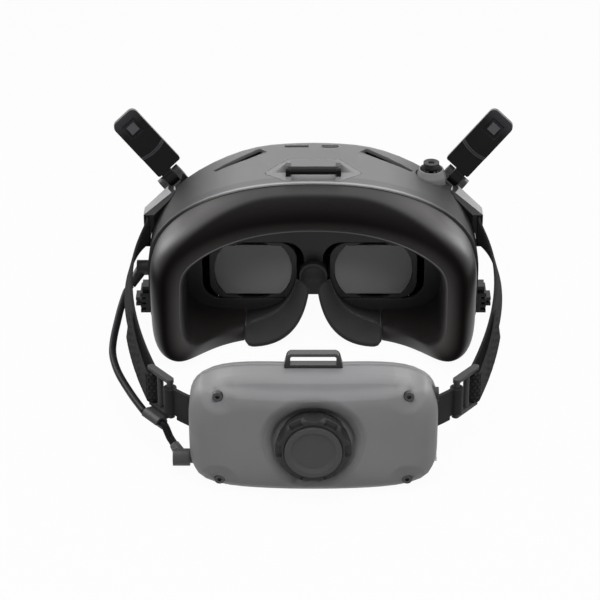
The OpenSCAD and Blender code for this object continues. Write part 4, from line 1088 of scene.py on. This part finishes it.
class GOGGLES_OT_optics(Operator):
    """Finishes the eyepieces, lenses and displays"""
    bl_idname = "goggles.optics"
    bl_label = "Optics"

    def execute(self, context):
        dress(plastic("black"), "left_eyepiece", "right_eyepiece")
        dress(lens_glass(), "left_lens", "right_lens")
        dress(screen_glass(), "left_display", "right_display")
        dress(plastic("dark"), "optics_chassis")
        dress(metal("turned_steel"), "ipd_rails")
        return {"FINISHED"}


class GOGGLES_OT_antennas(Operator):
    """Finishes the antennas and the joystick"""
    bl_idname = "goggles.antennas"
    bl_label = "Antennas and joystick"

    def execute(self, context):
        dress(plastic("antenna", paint=tip_highlight), "left_antenna", "right_antenna")
        for name in SIDE_SIGNS:
            blade = NODES[f"{name}_antenna"].data
            blade.materials.append(plastic("badge"))
            widest = max((f for f in blade.polygons if f.normal.y < -0.85), key=lambda f: f.area)
            front, front_at = widest.normal.copy(), widest.center.dot(widest.normal)
            for f in blade.polygons:
                facing, depth = f.normal.dot(front), (front_at - f.center.dot(front)) / MM
                badge = facing > 0.99 and 0.1 < depth < 0.45
                # Step slopes take the badge finish as a painted highlight.
                step = 0.5 < facing < 0.97 and 0.05 < depth < 1.3
                f.material_index = int(badge or step)
        dress(plastic("dark"), "left_antenna_bracket", "right_antenna_bracket")
        dress(plastic("shell"), "joystick_base")
        dress(plastic("dark"), "joystick_gimbal", "joystick_stem", "joystick_cap")
        return {"FINISHED"}


class GOGGLES_OT_electronics(Operator):
    """Finishes the boards, the fan and the cells"""
    bl_idname = "goggles.electronics"
    bl_label = "Electronics"

    def execute(self, context):
        dress(circuit_board(), "mainboard", "battery_board")
        dress(metal("milled_alloy"), "heat_sink")
        dress(plastic("dark"), "fan_frame", "fan_rotor")
        dress(cell_wrap(), "battery_cells")
        dress(metal("turned_steel"), "charge_port", "pinion_shaft")
        return {"FINISHED"}


class GOGGLES_OT_battery_case(Operator):
    """Finishes the battery case, the knob, the bands and the buckles"""
    bl_idname = "goggles.battery_case"
    bl_label = "Battery case"

    def execute(self, context):
        dress(plastic("case", form=case_forms), "case_rear_shell", angle=40)
        dress(plastic("shell"), "case_front_shell", angle=40)
        dress(plastic("knob"), "tension_knob", "power_button")
        dress(plastic("cap"), "knob_cap")
        dress(plastic("buckle"), "left_buckle", "right_buckle", "cable_clip")
        dress(plastic("loop"), "case_strap_loop")
        dress(plastic("band"), "left_band", "right_band")
        dress(metal("screw_steel"), "case_screws")
        return {"FINISHED"}


# Stage

def soft_box(name, extent, watts, location, target):
    """A rectangular area lamp, turned to its target."""
    data = bpy.data.lights.new(name, "AREA")
    data.shape = "RECTANGLE"
    data.size, data.size_y = extent
    data.energy = watts
    lamp = bpy.data.objects.new(name, data)
    bpy.context.scene.collection.objects.link(lamp)
    lamp.location = location
    lamp.rotation_mode = "QUATERNION"
    lamp.rotation_quaternion = (Vector(target) - Vector(location)).to_track_quat("-Z", "Y")
    return lamp


def seen(t):
    """1 on rays from the camera, straight, by a gloss or through glass."""
    ray = t.add("ShaderNodeLightPath").outputs
    return t.math("MAXIMUM", ray["Is Glossy Ray"],
                  t.math("MAXIMUM", ray["Is Camera Ray"], ray["Is Transmission Ray"]))


def floor_paper(tone):
    """Pale paper that keeps a little of the shadow."""
    t = Material("floor_paper")
    glow = t.add("ShaderNodeEmission", {"Color": (1, 1, 1, 1), "Strength": 1}).outputs[0]
    paper = t.add("ShaderNodeMixShader", {
        0: t.math("MULTIPLY", seen(t), 0.96), 1: t.shader.outputs[0], 2: glow}).outputs[0]
    t.fill(t.tree.nodes["Material Output"], {0: paper})
    return t.made((*tone, 1), 0.9, specular=0)


def studio_world():
    """A room with a lighter wall behind the goggles, white to the camera."""
    world = bpy.data.worlds.new("studio")
    world.use_nodes = True
    t = Tree(world.node_tree)
    way = t.axes(t.add("ShaderNodeTexCoord").outputs["Generated"])
    wall = t.span(way[1], -0.4, 0.6, 0.04, 0.5)
    ceiling = t.span(way[2], 0.3, 0.7)
    room = t.weigh(wall, t.math("SUBTRACT", 1, ceiling), ceiling, 0.1)
    t.fill(t.tree.nodes["Background"], {0: t.math("MAXIMUM", room, seen(t))})
    return world


class GOGGLES_OT_stage(Operator):
    """Lays the floor and sets the lights"""
    bl_idname = "goggles.stage"
    bl_label = "Stage"

    def execute(self, context):
        studio = context.scene.goggles_studio
        half, z = 6000, -0.05
        floor = mesh_object("floor", [(-half, -half, z), (half, -half, z), (half, half, z), (-half, half, z)],
                            [(0, 1, 2, 3)], False)
        give(floor, floor_paper(studio.floor))
        context.scene.world = studio_world()
        soft_box("back_box", (1.0, 0.8), studio.back_light, (0, 1.3, 0.85), (0, 0, 0.05))
        soft_box("top_box", (1.2, 0.9), studio.top_light, (0, 0.1, 1.2), (0, 0, 0))
        for name, sign in SIDE_SIGNS.items():
            side = soft_box(f"{name}_box", (0.7, 0.9), studio.side_light, (sign * 0.95, 0.65, 0.65),
                            (0, 0, 0.04))
            side.visible_diffuse = False
        fill = soft_box("front_box", (1.2, 0.8), studio.front_light, (0, -0.7, 1.45), (0, 0, 0.03))
        fill.visible_glossy = False
        context.scene.view_settings.view_transform = "Standard"
        return {"FINISHED"}


# Add-on

class GOGGLES_PT_panel(Panel):
    """Lists the steps that dress the goggles"""
    bl_idname = "GOGGLES_PT_panel"
    bl_label = "Goggles"
    bl_space_type = "VIEW_3D"
    bl_region_type = "UI"
    bl_category = "Goggles"

    def draw(self, context):
        for step in STEPS:
            self.layout.operator(step.bl_idname)
        for name, group in SETTINGS.items():
            box = self.layout.box()
            for setting in group.__annotations__:
                box.prop(getattr(context.scene, name), setting)


STEPS = (GOGGLES_OT_camera, GOGGLES_OT_cable, GOGGLES_OT_face_pad, GOGGLES_OT_nose_flaps, GOGGLES_OT_straps,
         GOGGLES_OT_head_pad, GOGGLES_OT_housing, GOGGLES_OT_optics, GOGGLES_OT_antennas,
         GOGGLES_OT_electronics, GOGGLES_OT_battery_case, GOGGLES_OT_stage)
SETTINGS = {"goggles_soft": GogglesSoftSizes, "goggles_finish": GogglesFinishes,
            "goggles_studio": GogglesStudio}


def register():
    for group in SETTINGS.values():
        bpy.utils.register_class(group)
    for name, group in SETTINGS.items():
        setattr(Scene, name, PointerProperty(type=group))
    for cls in (*STEPS, GOGGLES_PT_panel):
        bpy.utils.register_class(cls)


def unregister():
    for cls in (GOGGLES_PT_panel, *reversed(STEPS)):
        bpy.utils.unregister_class(cls)
    for name, group in SETTINGS.items():
        delattr(Scene, name)
        bpy.utils.unregister_class(group)


def main():
    register()
    for step in STEPS:
        area, name = step.bl_idname.split(".")
        getattr(getattr(bpy.ops, area), name)()


if __name__ == "__main__":
    main()
